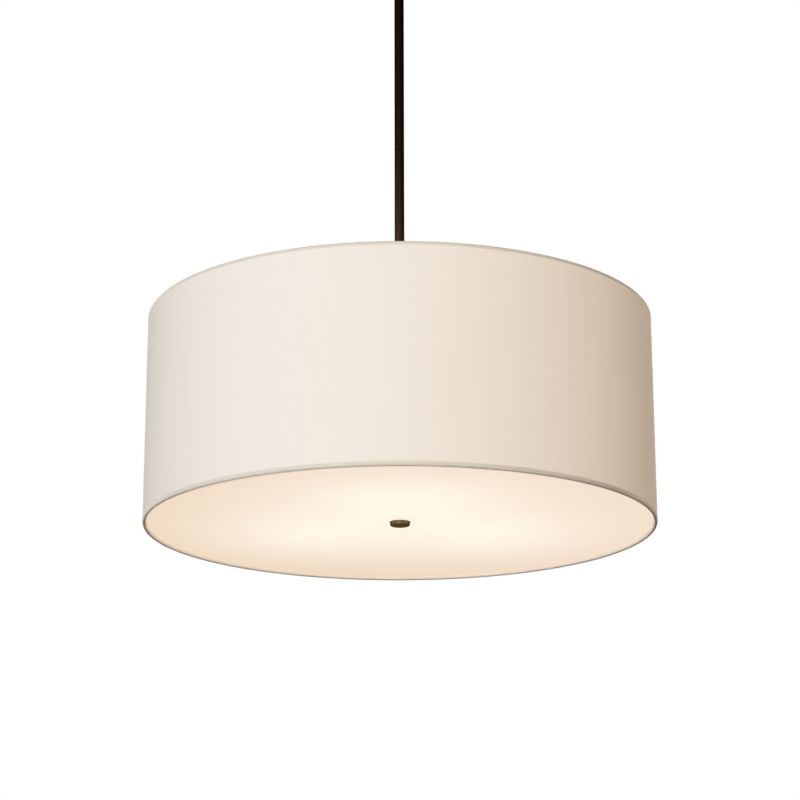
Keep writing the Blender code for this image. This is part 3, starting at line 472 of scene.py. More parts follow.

# %% [markdown]
# ## The drum's cloth
#
# The cover is one sheet of plain-woven cotton, glued to a stiff liner and rolled over a wire at each end. The
# camera is too far away to count threads, and sees a warm cream with the faintest upright streaks where single
# threads run thick. The weave follows the surface, so it reads a UV map laid out in metres: across is the way
# round the drum, and up is the way along the cloth. Two waves at right angles cross over and under each other.
#
# On the hems the cloth lies double and lets less lamp light through, so painted shade darkens their colour, and
# the top roll's crest most of all. This painted shade deepens to the right, away from the key lamp, and eases at
# the far ends. At the bottom roll's inner lip a painted glow stands for lamp light that leaks out.

# %% Woven fabric
THREAD = 0.00052
WALL_HEIGHT = 0.2486
HEM_SHADE = (0.83, 0.82, 0.775)
CREST_SHADE = (0.62, 0.605, 0.57)
LIP_GLOW = (0.22, 0.185, 0.148)
nodes, shader = shaded("cream_fabric", specular=0.25)
cloth = nodes.add("UVMap", {"uv_map": "cloth"})["UV"]
across, up = nodes.add("SeparateXYZ", Vector=cloth)[:2]
shift = nodes("MULTIPLY_ADD", nodes.noise(cloth, 60, 2), THREAD * 1.2)
warp_at = nodes("MULTIPLY", nodes("ADD", across, shift), pi / THREAD)
weft_at = nodes("MULTIPLY", nodes("ADD", up, shift), pi / THREAD)
warp, weft = (nodes("ABSOLUTE", nodes("SINE", at)) for at in (warp_at, weft_at))
crossing = nodes("MULTIPLY", nodes("COSINE", warp_at), nodes("COSINE", weft_at))
over = nodes("MULTIPLY_ADD", crossing, 0.5, 0.5)
warp_high = nodes("MULTIPLY", warp, over)
weft_high = nodes("MULTIPLY", weft, nodes("SUBTRACT", 1, over))
threads = nodes("MAXIMUM", warp_high, weft_high)
upright = nodes.add("Mapping", Vector=cloth, Scale=(1, 0.012, 1))[0]
level = nodes.add("Mapping", Vector=cloth, Scale=(0.02, 1, 1))[0]
slubs = nodes.noise(level, 520, 3, 0.6)
thick = nodes("MULTIPLY_ADD", slubs, 0.25, nodes.noise(upright, 420, 4, 0.65))
cream = nodes.mix(nodes.ramp(thick, 0.3, 0.95), (0.872, 0.812, 0.748, 1), (0.910, 0.852, 0.792, 1))
between = nodes.mix(nodes.ramp(threads, 0.15, 0.6), (0.80, 0.725, 0.645, 1), WHITE)
woven = nodes.mix(0.18, cream, between, "MULTIPLY")

# painted shade: the doubled hems get a darker colour, deeper to the right, away from the key lamp, and lighter at
# the far ends
above_hem = nodes.ramp(up, 0.0004, 0.0028, smooth=True)
below_roll = nodes.ramp(up, WALL_HEIGHT - 0.0034, WALL_HEIGHT - 0.0021, 1, 0, smooth=True)
lip = nodes.add("Attribute", {"attribute_name": "edge"})["Fac"]
single = nodes("MAXIMUM", nodes("MULTIPLY", above_hem, below_roll), lip)
side = nodes.add("SeparateXYZ", Vector=nodes.place())["X"]
far_ends = nodes.ramp(nodes("ABSOLUTE", side), 0.24, 0.30, 0, 0.25, smooth=True)
hem_light = nodes("ADD", nodes.ramp(side, 0.03, 0.24, 1, 0.75), far_ends)
painted_hem_shading = nodes.mix(single, nodes.scaled(HEM_SHADE, hem_light), WHITE)
# painted shade: the top roll's crest gets a darker colour still
rising = nodes.ramp(up, WALL_HEIGHT - 0.0002, WALL_HEIGHT + 0.0010, smooth=True)
crest = nodes("MULTIPLY", rising, nodes("LESS_THAN", up, WALL_HEIGHT + 0.012))
painted_hem_and_crest_shading = nodes.mix(crest, painted_hem_shading, nodes.scaled(CREST_SHADE, hem_light))
# painted glow: the bottom roll's inner lip emits LIP_GLOW, standing for lamp light leaking past the disc
nodes.feed(
    shader, Base_Color=nodes.mix(1, woven, painted_hem_and_crest_shading, "MULTIPLY"), Roughness=0.88, Sheen_Weight=0.08,
    Emission_Color=nodes.mix(lip, BLACK, (*LIP_GLOW, 1)), Emission_Strength=1,
    Normal=nodes.bump(nodes("MULTIPLY_ADD", thick, 0.35, threads), 0.25, 0.00012),
)
print("thread spacing in mm", THREAD * 1000)

# %% [markdown]
# ### The cover
#
# The outline runs up the outside, rolls over the top wire, tucks in behind the liner's edge, and rolls round the
# bottom wire the same way. Carried round the axis it makes the whole cover in one closed sheet. A real cover is
# never a perfect cylinder: glue and tension leave swells of a few hundredths of a millimetre, the glued wall sits
# a hair inside the rolled hems, and the ends of the sheet lap over each other in one upright seam at the back.
# The rolls are pressed a little flat against the wall, as cloth pulled tight over a wire is.

# %% Cover of the drum
SHADE_RADIUS = 0.3048
FABRIC = 0.0005
HEM_BORE = 0.0022
HEM_RADIUS = HEM_BORE + FABRIC
HEM_CENTRE = SHADE_RADIUS - HEM_RADIUS
HEM_PROUD = 0.00022
ROLL_WIDTH = 0.76
LAP_WIDTH = 0.010
LIP_DEG, LIP_FADE_DEG = -118, 50
SIDES = 288
low_centre = (HEM_CENTRE, cad_box[0][2] + HEM_RADIUS)
top_centre = (HEM_CENTRE, span("shade_cover")[1] - HEM_RADIUS)


def arc(centre, radius, start_deg, end_deg, steps):
    """Points on a circle: centre + radius (cos t, sin t)."""
    turn = np.radians(np.linspace(start_deg, end_deg, steps + 1))
    return np.stack([centre[0] + radius * np.cos(turn), centre[1] + radius * np.sin(turn)], axis=1)


def pressed(outline):
    """Narrows a roll to ROLL_WIDTH of its width, towards the drum's outside."""
    return np.stack([SHADE_RADIUS - ROLL_WIDTH * (SHADE_RADIUS - outline[:, 0]), outline[:, 1]], axis=1)


low, high = low_centre[1], top_centre[1]
near_end = np.array([0.0012, 0.0024, 0.0032, 0.0042])
wall = join([low + near_end, np.linspace(low, high, 42)[2:-2], high - near_end[::-1]])
drawn_in = HEM_PROUD * np.clip(np.minimum(wall - low, high - wall) / near_end[2], 0, 1) ** 2
outline = join([
    np.stack([SHADE_RADIUS - drawn_in / ROLL_WIDTH, wall], axis=1),
    arc(top_centre, HEM_RADIUS, 0, 180, 16), arc(top_centre, HEM_BORE, 180, 0, 14),
    arc(low_centre, HEM_BORE, 0, -225, 18), arc(low_centre, HEM_RADIUS, -225, 0, 20),
])
# the lip mask places the cloth's painted glow on the bottom roll's inner side
lip = np.zeros(len(outline))
lip[-21:] = np.clip((LIP_DEG - np.linspace(-225, 0, 21)) / LIP_FADE_DEG, 0, 1)
outside = (outline[:, 0] >= HEM_CENTRE)[:, None]
outline = pressed(outline)
grid = spin(outline, SIDES)
turn, height = angles(SIDES), grid[..., 2]
swell = np.sin(5 * turn + 1.1) * np.sin(9 * height) + 0.6 * np.sin(11 * turn + 14 * height)
from_seam = np.abs((turn - pi / 2 + pi) % tau - pi) * SHADE_RADIUS
lap = 0.5 - 0.5 * np.tanh((from_seam - LAP_WIDTH / 2) / 0.0008)
reach = np.hypot(grid[..., 0], grid[..., 1])
grid[..., :2] *= ((reach + outside * (0.00004 * swell + FABRIC * 0.8 * lap)) / reach)[..., None]
walked = np.cumsum(np.linalg.norm(np.roll(outline, -1, axis=0) - outline, axis=1))
uv = (np.arange(SIDES + 1) * tau / SIDES * SHADE_RADIUS, join([[0], walked]))
skin("drum_cover", grid, "cream_fabric", "shade_cover", uv=uv, edge=lip, smooth_deg=75)

# %% [markdown]
# ### Liner and wires
#
# Behind the cloth stands a sheet of white styrene, a millimetre thick, that gives the drum its stiff round form.
# Two steel rings hold its ends. The rings are buried in the hems, so a plain round section is enough for them.

# %% Liner and wire rings
hard_finish(
    "white_styrene", (0.88, 0.855, 0.80), (0.84, 0.81, 0.75), (0.92, 0.90, 0.87), (0.42, 0.60), 0,
    (0.6, 12), 0.2, (420, 0.12), stretch=(1, 1, 0.05),
)
LINER_RADIUS = SHADE_RADIUS - FABRIC - 0.0003
sheet = tube(LINER_RADIUS - 0.001, LINER_RADIUS, low + HEM_BORE, high - HEM_BORE)
turned_piece("drum_liner", sheet, "white_styrene", "shade_liner", radius=0.0002, sides=240)
for name, centre in (("shade_top_wire", top_centre), ("shade_bottom_wire", low_centre)):
    wire = pressed(arc(centre, 0.0019, 0, 360, 12)[:-1])
    skin(name + "_ring", spin(wire, 240), "plated_steel", name)

# %% [markdown]
# ## The frosted disc
#
# The disc closes the drum from below. It is held only at its centre, so it droops a few millimetres towards its
# rim, as a plate does under its own weight. Three lamps above it make three soft lobes of light. A lamp at
# height h lights a point at distance d with h cubed over d cubed, so the glow is a sum of three such terms,
# added to an even level that the white liner returns, less what the studio adds. The rod in the middle casts
# three faint streaks of shadow, one away from each lamp. All of this is painted light in the disc's emission,
# with a slight painted tilt brighter towards the front and the right, and only the underside glows.

# %% Glow of the disc
LAMP_AZIMUTHS_DEG = (-90, 30, 150)
GLOW_REACH, GLOW_HEIGHT = 0.1278, 0.1496
ROD_SHADOW = 0.05
nodes, shader = shaded("frosted_acrylic")
x, y = nodes.add("SeparateXYZ", Vector=nodes.place())[:2]
flat = nodes.add("CombineXYZ", X=x, Y=y)[0]
lobes, streaks = [], []
for azimuth in LAMP_AZIMUTHS_DEG:
    a = radians(azimuth)
    lamp_at = (GLOW_REACH * cos(a), GLOW_REACH * sin(a), GLOW_HEIGHT)
    away = nodes.add("VectorMath", {"operation": "DISTANCE"}, i0=flat, i1=lamp_at)["Value"]
    lobes.append(nodes("POWER", nodes("DIVIDE", GLOW_HEIGHT, away), 3))
    a = radians(azimuth + 180)
    aside = nodes("MULTIPLY_ADD", x, -sin(a), nodes("MULTIPLY", y, cos(a)))
    along = nodes("MULTIPLY_ADD", x, cos(a), nodes("MULTIPLY", y, sin(a)))
    width = nodes("MULTIPLY_ADD", along, 0.05, 0.0022)
    share = nodes("DIVIDE", nodes("ABSOLUTE", aside), width)
    fading = nodes(
        "MULTIPLY", nodes.ramp(share, 0, 1, 1, 0, smooth=True), nodes.ramp(along, 0.004, 0.10, 1, 0)
    )
    streaks.append(nodes("MULTIPLY", fading, nodes.ramp(along, 0, 0.004)))
total, lit = nodes.total(*lobes), []
# painted light for each colour channel: even level, the lobes' gain, a tilt to the front and the right, and the
# studio's share taken off
for even, gain, front, right, studio in (
    (0.852, 0.121, -0.067, 0.04, 0.134), (0.669, 0.198, -0.085, 0.05, 0.129), (0.515, 0.218, -0.093, 0.066, 0.116)
):
    value = nodes("MULTIPLY_ADD", total, gain, even)
    value = nodes("MULTIPLY_ADD", y, front, value)
    lit.append(nodes("SUBTRACT", nodes("MULTIPLY_ADD", x, right, value), studio))
glow = nodes.add("CombineColor", Red=lit[0], Green=lit[1], Blue=lit[2])[0]
shadow = nodes("MULTIPLY", nodes.total(*streaks), ROD_SHADOW)
below = nodes.add("Attribute", {"attribute_name": "below"})["Fac"]
frost = nodes.use("grain", Scale=1400)["Height"]
nodes.feed(
    shader, Base_Color=nodes.clouds((0.62, 0.60, 0.56), (0.60, 0.575, 0.53), 0.6, 14)["Colour"],
    Emission_Color=nodes.mix(below, BLACK, nodes.mix(shadow, glow, (0.30, 0.24, 0.18, 1))), Emission_Strength=1,
    Roughness=nodes.ramp(frost, 0.2, 0.8, 0.5, 0.66), Normal=nodes.bump(frost, 0.08, 0.0003),
)
print("lobes at", LAMP_AZIMUTHS_DEG)

# %% Disc
DISC_Z = span("finial")[0] + 0.005 + 0.0003
DISC_RADIUS, DISC_THICKNESS, DROOP = 0.3001, 0.003, 0.0058


def droop(share):
    """Height of the underside: a round plate held at its centre sags by a share of the sag at its rim."""
    square = share * share
    return DISC_Z - DROOP * (square * (0.8323 - 1.3415 * np.log(share)) + 0.1677 * square * square)


shares = join([np.linspace(0.0147, 0.08, 5), np.linspace(0.12, 0.98, 28), [0.993, 0.998, 1.0]])
under = np.stack([DISC_RADIUS * shares, droop(shares)], axis=1)
under[-3:, 1] += (0, 0.00005, 0.0004)
over = under[::-1] + (0, DISC_THICKNESS)
over[:3, 1] -= (0.0008, 0.0001, 0)
grid = spin(join([under, over]), 256)
disc = skin("frosted_disc", grid, "frosted_acrylic", "diffuser", "diffuser", smooth_deg=60)
points = np.empty(len(disc.data.vertices) * 3)
disc.data.vertices.foreach_get("co", points)
x, y, z = points.reshape(-1, 3).T
depth = z - droop(np.hypot(x, y) / DISC_RADIUS)
marks = disc.data.attributes.new("below", "FLOAT", "POINT")
marks.data.foreach_set("value", np.clip(1 - depth / 0.001, 0, 1).astype(np.float32))

# %% [markdown]
# ## Stem and finial
#
# The stem is a plain drawn tube with a dark oil-rubbed finish. Its colour is painted brighter towards the drum,
# as painted light from the drum's pale top, and painted darker on its right as painted shade. The finial is a
# small turned disc that screws up into the coupler and clamps the frosted disc. Its side tapers, and its
# underside is a very shallow dome.

# %% Stem
nodes, shader = hard_finish(
    "stem_bronze", (0.0092, 0.0054, 0.0032), (0.0108, 0.0066, 0.0040), (0.05, 0.03, 0.017), (0.36, 0.50), 1,
    (0.8, 55), 0.5, (1600, 0.05), 0.1,
)
# painted light and shade: the colour brightens towards the drum and darkens on the stem's right side
BRIGHT_Z, BRIGHT_FADE = -0.392, 0.08
patina = shader["Base Color"].links[0].from_socket
x, _, z = nodes.add("SeparateXYZ", Vector=nodes.place())
nearness = nodes("EXPONENT", nodes("DIVIDE", nodes("SUBTRACT", BRIGHT_Z, z), BRIGHT_FADE))
painted_drum_light = nodes("MULTIPLY_ADD", nodes("MINIMUM", nearness, 1.4), 2.9, 1)
right = nodes.mix(nodes.ramp(x, -0.0045, 0.0055), WHITE, (0.34, 0.25, 0.16, 1))
nodes.feed(shader, Base_Color=nodes.scaled(nodes.mix(1, patina, right, "MULTIPLY"), painted_drum_light))
turned_piece("stem_tube", tube(0.0045, 0.006, *span("stem")), "stem_bronze", "stem", sides=64)

# %% Finial
rim = DISC_Z - 0.0003
low = rim - 0.0047
flat_radius = 0.0110
r = np.linspace(0, flat_radius, 10)
dome = np.stack([r, low - 0.0003 + 0.0003 * (r / flat_radius) ** 2], axis=1)[:-1]
side, edge = rounded(
    [(flat_radius, low), (0.0116, low + 0.0006), (0.01225, rim - 0.0008), (0.01225, rim), (0.0098, rim),
     (0.0098, rim - 0.0013), (0.003, rim - 0.0013), (0.003, rim + 0.0146), (0, rim + 0.0146)], closed=False,
)
grid = spin(join([dome, side]), 72)
edge = join([np.ones(len(dome)), edge])
# the finial's bronze is painted lighter, as painted light from the glowing disc above it
skin("finial_knob", grid, "painted_lit_rubbed_bronze", "finial", "finial", closed=False, edge=edge)

# %% [markdown]
# ## Lamps
#
# Each lamp is a frosted globe on a metal cap. The glass is one outline: up the neck, round the globe and back
# down inside. It glows, and lights the liner and the disc from within. The camera gets a calmer white than the
# light rays do, because a real lamp is far brighter than a picture can show.

# %% Glowing glass
LAMP_LIGHT, LAMP_SEEN = 9.0, 0.48
nodes, shader = shaded("lamp_glass")
path = nodes.add("LightPath")
looks = nodes("MAXIMUM", path["Is Camera Ray"], path["Is Glossy Ray"])
nodes.feed(
    shader, Base_Color=nodes.clouds((0.80, 0.78, 0.74), (0.75, 0.73, 0.68), 0.5, 60)["Colour"], Roughness=0.35,
    Emission_Color=(1, 0.80, 0.56, 1), Emission_Strength=nodes.ramp(looks, 0, 1, LAMP_LIGHT, LAMP_SEEN),
)


def on_lamp(grid, azimuth_deg):
    """Moves a grid to a lamp, whose Z runs outwards and down from the cluster's sloping face."""
    a, tilt = radians(azimuth_deg), pi / 4
    radial, side, up = np.array([(cos(a), sin(a), 0), (-sin(a), cos(a), 0), (0, 0, 1)])
    out = sin(tilt) * radial - cos(tilt) * up
    turn = np.stack([np.cross(side, out), side, out], axis=1)
    return grid @ turn.T + (0.021 * radial - 0.5571 * up)


def on_lamps(grid):
    """The grid on each of the three lamps."""
    return [on_lamp(grid, azimuth) for azimuth in LAMP_AZIMUTHS_DEG]


BULB_CENTRE, BULB_RADIUS, GLASS = 0.0958, 0.030, 0.001
globe = arc((0, BULB_CENTRE), BULB_RADIUS, -28, 90, 39)
neck_low, neck_top, pull = (0.0124, 0.0401), np.array([0.0124, 0.0508]), np.array([0.0128, 0.066])
s = np.linspace(0, 1, 14)[:-1, None]
neck = (1 - s) ** 2 * neck_top + 2 * s * (1 - s) * pull + s**2 * globe[0]
outer = join([[neck_low], neck, globe])
outer[-1, 0] = 0
inner = outer[::-1].copy()
inner[:, 0] = np.maximum(inner[:, 0] - GLASS * np.cos(np.linspace(pi / 2, 0, len(inner))), 0)
inner[:, 1] -= GLASS * (inner[:, 1] > BULB_CENTRE) * (inner[:, 1] - BULB_CENTRE) / BULB_RADIUS
bulb = spin(join([outer, inner]), 64)
copies("globe", "bulb_glass", on_lamps(bulb), "lamp_glass", "lamp_#", smooth_deg=60)

# %% [markdown]
# ## Canopy
#
# The canopy is spun from one sheet and hides the outlet box. Its outline is a flat floor, a round shoulder and a
# straight wall that meets the ceiling. The hole in its middle takes the swivel.

# %% Canopy dish
CANOPY_HOLE = 0.01514
wide, floor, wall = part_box("canopy")[1][0], span("canopy")[0], 0.0012
dish = [(CANOPY_HOLE, floor), (wide, floor), (wide, 0), (wide - wall, 0), (wide - wall, floor + wall),
        (CANOPY_HOLE, floor + wall)]
outline, edge = rounded(dish, np.array([0.0003, 0.006, 0.0003, 0.0003, 0.0048, 0.0003]), steps=12)
skin("canopy_dish", spin(outline, 160), "dark_bronze", "canopy", "ceiling_mount", edge=edge * 0.6)

# %% [markdown]
# ## Nuts, from one formula
#
# A nut is a hexagon whose corners are cut by a cone at both ends. So its outer surface is simply the smaller of
# two distances from the axis: that of the hexagon at this angle, and that of the cone at this height. One grid
# gives every nut here, and the curved chamfer lines come out by themselves.

# %% Nuts and the coupler
HEX_COLUMNS = 96
CONE = 1.73  # how fast the cone widens away from an end
STUD_REACH = 0.052


def nut_grid(flats, bore, low, high, bevel=0.00025):
    """Outer radius is the smaller of the hexagon's, flats/2 / cos(t - middle of its flat), and the cone's,
    flats/2 + CONE d, where d is the height from an end."""
    turn = angles(HEX_COLUMNS)
    sixth = pi / 3
    hexagon = flats / 2 / np.cos(turn % sixth - sixth / 2)
    reach = (flats / 2 / cos(pi / 6) - flats / 2) / CONE
    step = np.linspace(0, 1, 6) * reach
    middle = np.array([reach * 1.6])
    rise = join([step, middle, (high - low) - middle, (high - low) - step[::-1]])[:, None]
    from_end = np.minimum(rise, (high - low) - rise)
    outer = np.minimum(hexagon, flats / 2 - 0.0001 + CONE * from_end)
    hole = np.array([(bore + bevel, high), (bore, high - bevel), (bore, low + bevel), (bore + bevel, low)])
    inner = hole[:, :1] + 0 * turn
    corner = np.clip(1 - (hexagon - outer) / 0.0002, 0, 1)
    sharp = np.abs(turn * 3 / pi - np.round(turn * 3 / pi)) < 0.01
    edge = join([np.maximum(corner * sharp, (from_end < 0.00001) * 0.9), inner * 0])
    return swept(join([outer, inner]), join([low + rise, hole[:, 1:]]), HEX_COLUMNS), edge


def on_both(grid, reach=STUD_REACH):
    """The grid on both sides, at a distance along X."""
    return [grid + (-reach, 0, 0), grid + (reach, 0, 0)]


for name, node_name, flats, bore, finish in (
    ("ball_lock_nut", "ball_nut", 0.017, 0.0063, "brass"),
    ("cluster_lock_nut", "cluster_nut", 0.019, 0.0063, "brass"),
    ("rod_nut_upper_turned", "rod_nut_upper", 0.010, 0.0033, "brass"),
    ("rod_nut_lower_turned", "rod_nut_lower", 0.010, 0.0033, "brass"),
    ("coupling_nut", "rod_coupler", 0.011, 0.0033, "plated_steel"),
):
    grid, edge = nut_grid(flats, bore, *span(node_name))
    skin(name, grid, finish, node_name, edge=edge, smooth_deg=24)
grid, edge = nut_grid(0.007, 0.0023, *span("stud_nut_1"))
copies("stud_lock_nut", "stud_nut", on_both(grid), "brass", "ceiling_mount", edge=edge, smooth_deg=24)
grid, edge = nut_grid(0.014, 0.0053, -0.0053, -0.0023)
copies("nipple_lock_nut", "nipple_nut", on_lamps(grid), "brass", edge=edge, smooth_deg=24)

# %% [markdown]
# ## Threads and rods
#
# A screw thread is a ridge that climbs one pitch for each turn. So the radius dips by a share that depends on
# height over pitch minus the angle, and a plain bar becomes a threaded one. The rod is cut with a thread only
# near its ends, where nuts and coupler hold it. Canopy studs are threaded all along.


# %% Threaded bars
def bar_grid(radius, low, high, threads, depth=0.0003, pitch=0.001, columns=28, bevel=0.0004):
    """A closed bar along Z, with threads cut into the stretches (start, end).

    A thread cuts in by depth times a wave of height / pitch - angle / tau, flattened at its crests.
    """
    rows = [np.arange(start, end, pitch / 6) for start, end in threads]
    height = np.unique(join([np.linspace(low + bevel, high - bevel, 12), *rows]))[:, None]
    wave = 0.5 - 0.5 * np.cos(tau * height / pitch - angles(columns))
    cut = np.zeros(wave.shape)
    for start, end in threads:
        inside = np.clip(np.minimum(height - start, end - height) / pitch, 0, 1)
        cut = np.maximum(cut, inside * (depth * wave**1.5))
    ends = np.array([[0], [radius - bevel]]) * np.ones(columns)
    radii = join([ends, radius - cut, ends[::-1]])
    marks = np.array([[0], [1]]) * np.ones(columns)
    edge = join([marks, 0.5 * (1 - cut / depth) * (cut > 0), marks[::-1]])
    return swept(radii, join([[[low], [low]], height, [[high], [high]]]), columns), edge


low, high = span("centre_rod")
grid, edge = bar_grid(0.003, low, high, [(high - 0.020, high - 0.0005), (low + 0.0005, low + 0.022)])
skin("threaded_rod", grid, "plated_steel", "centre_rod", closed=False, edge=edge)
low, high = span("canopy_stud_1")
grid, edge = bar_grid(0.002, low, high, [(low + 0.0004, high - 0.0004)], 0.00022, 0.0008, 20, 0.0003)
copies("threaded_stud", "canopy_stud", on_both(grid), "plated_steel", "ceiling_mount", closed=False, edge=edge)

# %% [markdown]
# ## Spider
#
# Three bars reach from a hub on the stem to the drum's top wire. Each runs level, bends upwards and meets the
# wire. A bar is a circle carried along that path: its two cross directions are the level one, which never
# changes, and the one square to it and to the path. At the hub the radius swells, as a welded joint does.


# %% Bars carried along a path
def carried(path, radius, side, columns=24, end=0.0002):
    """Ring points are path + radius (cos t side + sin t normal), with normal = side x tangent.

    Both ends get two more rings, a little beyond the path, that shrink to a point and close the bar.
    """
    first, last = path[:1] - path[1:2], path[-1:] - path[-2:-1]
    first *= end / np.linalg.norm(first)
    last *= end / np.linalg.norm(last)
    path = join([path[:1] + first, path[:1] + 0.7 * first, path, path[-1:] + 0.7 * last, path[-1:] + last])
    radius = join([[0, radius[0] * 0.8], radius, [radius[-1] * 0.8, 0]])
    along = np.gradient(path, axis=0)
    along /= np.linalg.norm(along, axis=1)[:, None]
    normal = np.cross(np.broadcast_to(side, along.shape), along)
    turn = angles(columns)[None, :, None]
    ring = np.cos(turn) * np.asarray(side) + np.sin(turn) * normal[:, None]
    return path[:, None] + radius[:, None, None] * ring


HUB_Z = -0.530
CLIMB = radians(50)
ARM_RADIUS = 0.0017
ARM_STOP = 0.0022  # how far an arm ends before the wire's middle
wire_z = top_centre[1]
bend_at = HEM_CENTRE - (wire_z - HUB_Z) / tan(CLIMB)
tip = (HEM_CENTRE - ARM_STOP * cos(CLIMB), wire_z - ARM_STOP * sin(CLIMB))
corners = [(0.0125, HUB_Z), (0.020, HUB_Z), (0.10, HUB_Z), (0.20, HUB_Z), (bend_at, HUB_Z), tip]
line, _ = rounded(corners, 0.012, closed=False, steps=10, guard=0.001)
apart = np.linalg.norm(np.diff(line, axis=0), axis=1) > 0.00001
line = line[join([[True], apart])]
thickness = ARM_RADIUS + 0.0008 * np.exp(-np.maximum(line[:, 0] - 0.014, 0) / 0.0014)
for azimuth in LAMP_AZIMUTHS_DEG:
    a = radians(azimuth)
    path = np.stack([line[:, 0] * cos(a), line[:, 0] * sin(a), line[:, 1]], axis=1)
    grid = carried(path, thickness, (-sin(a), cos(a), 0.0))
    skin(f"spider_arm_{azimuth % 360}", grid, "plated_steel", "shade_spider", closed=False)
hub = tube(0.0063, 0.014, HUB_Z - 0.0025, HUB_Z + 0.0025)
turned_piece("spider_hub", hub, "plated_steel", "shade_spider", radius=0.0006)
collar = [(0.0063, -0.5272), (0.010, -0.5272), (0.010, -0.5212), (0.009, -0.5202), (0.0063, -0.5202)]
turned_piece("stem_collar_ring", collar, "dark_bronze", "stem_collar")

# %% [markdown]
# ## The cast cluster
#
# The cluster's body and lid are castings with flat faces, bosses and bores. A formula for one surface would not
# suit them, and their CAD shape is right. So a copy of each is merged, its flat triangles are joined into whole
# faces, and a bevel rounds the sharp edges as enamel over a casting does. The copy then stands for the node.


# %% Copies of CAD solids with softened edges
def softened(node_name, name, width, finish, body="pendant", segments=3):
    """A merged copy of a CAD node with a bevel on each edge that turns more than 25 degrees."""
    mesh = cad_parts[node_name].data.copy()
    mesh.name = name
    mesh.materials.clear()
    mesh.materials.append(finishes[finish])
    work = bmesh.new()
    work.from_mesh(mesh)
    bmesh.ops.remove_doubles(work, verts=work.verts, dist=0.000002)
    bmesh.ops.dissolve_limit(work, angle_limit=radians(1), verts=work.verts, edges=work.edges)
    work.to_mesh(mesh)
    work.free()
    mesh.shade_smooth()
    mesh.set_sharp_from_angle(angle=radians(25))
    piece = add_object(name, mesh)
    bevel = piece.modifiers.new("soft edges", "BEVEL")
    bevel.width, bevel.segments, bevel.harden_normals = width, segments, True
    bevel.limit_method, bevel.angle_limit = "ANGLE", radians(25)
    wear(piece, node_name, body)


softened("cluster_body", "cast_body", 0.0007, "white_cast_metal")
softened("cluster_lid", "cast_lid", 0.0005, "white_cast_metal")
softened("crossbar", "pressed_crossbar", 0.0003, "plated_steel", "ceiling_mount")
for number in (1, 2, 3):
    softened(f"socket_contact_{number}", f"sprung_contact_{number}", 0.0001, "brass", segments=2)

# %% [markdown]
# ## Screws with driven heads
#
# A pan head is a shallow dome, and its recess is where the surface is pushed down: near two crossing lines for a
# cross recess, or near one line for a slot. The depth fades over a tenth of a millimetre, so its walls stay steep.


# %% Lid screws and ground screw
def screw_piece(name, finish, node_name, body, place, radius, height, shank, shank_end, slots, width, reach, up=1):
    """A screw along Z with its head from 0 up to height and its shank down to shank_end, moved to its place.

    The top is height - dome (r / radius)^2.2, less DRIVE_DEPTH where a point lies within width of a slot's line.
    """
    r = join([np.linspace(0, radius * 0.9, 22), radius * np.array([0.95, 0.98, 1.0, 1.0])])
    z = height - 0.35 * height * (r / radius) ** 2.2
    z[-1] = 0.00012
    x, y = r[:, None] * np.cos(angles(72)), r[:, None] * np.sin(angles(72))
    cut = np.zeros_like(x)
    for angle in slots:
        aside = np.abs(-x * sin(angle) + y * cos(angle))
        along = np.abs(x * cos(angle) + y * sin(angle))
        walls = np.clip((width / 2 - aside) / 0.0001 + 0.5, 0, 1) * np.clip((reach - along) / 0.0002 + 0.5, 0, 1)
        cut = np.maximum(cut, walls * (1 - 0.4 * along / reach))
    top = np.stack([x, y, z[:, None] - DRIVE_DEPTH * cut], axis=-1)
    rest = [(radius - 0.00012, 0), (shank, 0), (shank, shank_end + 0.0003), (shank - 0.0003, shank_end),
            (0, shank_end)]
    grid = join([top, spin(np.array(rest), 72)]) * (1, up, up) + place
    edge = join([np.where(r > 0.94 * radius, 0.8, 0.2), [0.3, 0, 0, 0.5, 0]])
    skin(name, grid, finish, node_name, body, closed=False, edge=edge, smooth_deg=50)


DRIVE_DEPTH = 0.0009
BOSS_REACH = hypot(*np.sum(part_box("lid_screw_1"), axis=0)[:2]) / 2
for number, azimuth in enumerate(LAMP_AZIMUTHS_DEG, start=1):
    a = radians(azimuth + 60)
    low, high = span(f"lid_screw_{number}")
    seat = high - 0.0018
    screw_piece(
        f"pan_screw_{number}", "plated_steel", f"lid_screw_{number}", "pendant",
        (BOSS_REACH * cos(a), BOSS_REACH * sin(a), seat),
        0.003, 0.0018, 0.0015, low - seat, (0.3 + number, 0.3 + number + pi / 2), 0.0007, 0.0019,
    )
low, high = span("ground_screw")
screw_piece(
    "slotted_ground_screw", "green_screw", "ground_screw", "ceiling_mount", (0.023, 0, low + 0.0022),
    0.0036, 0.0022, 0.0019, -(high - low - 0.0022), (0.6,), 0.0009, 0.01, up=-1,
)

# %% [markdown]
# ## Lampholders and lamps' caps
#
# A lampholder is a moulded shell: a narrow foot, a shoulder, and a body with shallow upright ribs for the hand
# that unscrews it. The ribs are a high power of a cosine taken off the radius, faded out at both ends. Inside
# sits a thin brass shell with a rolled thread, and the lamp's cap carries the same thread: radius plus a wave of
# height over pitch minus the angle.

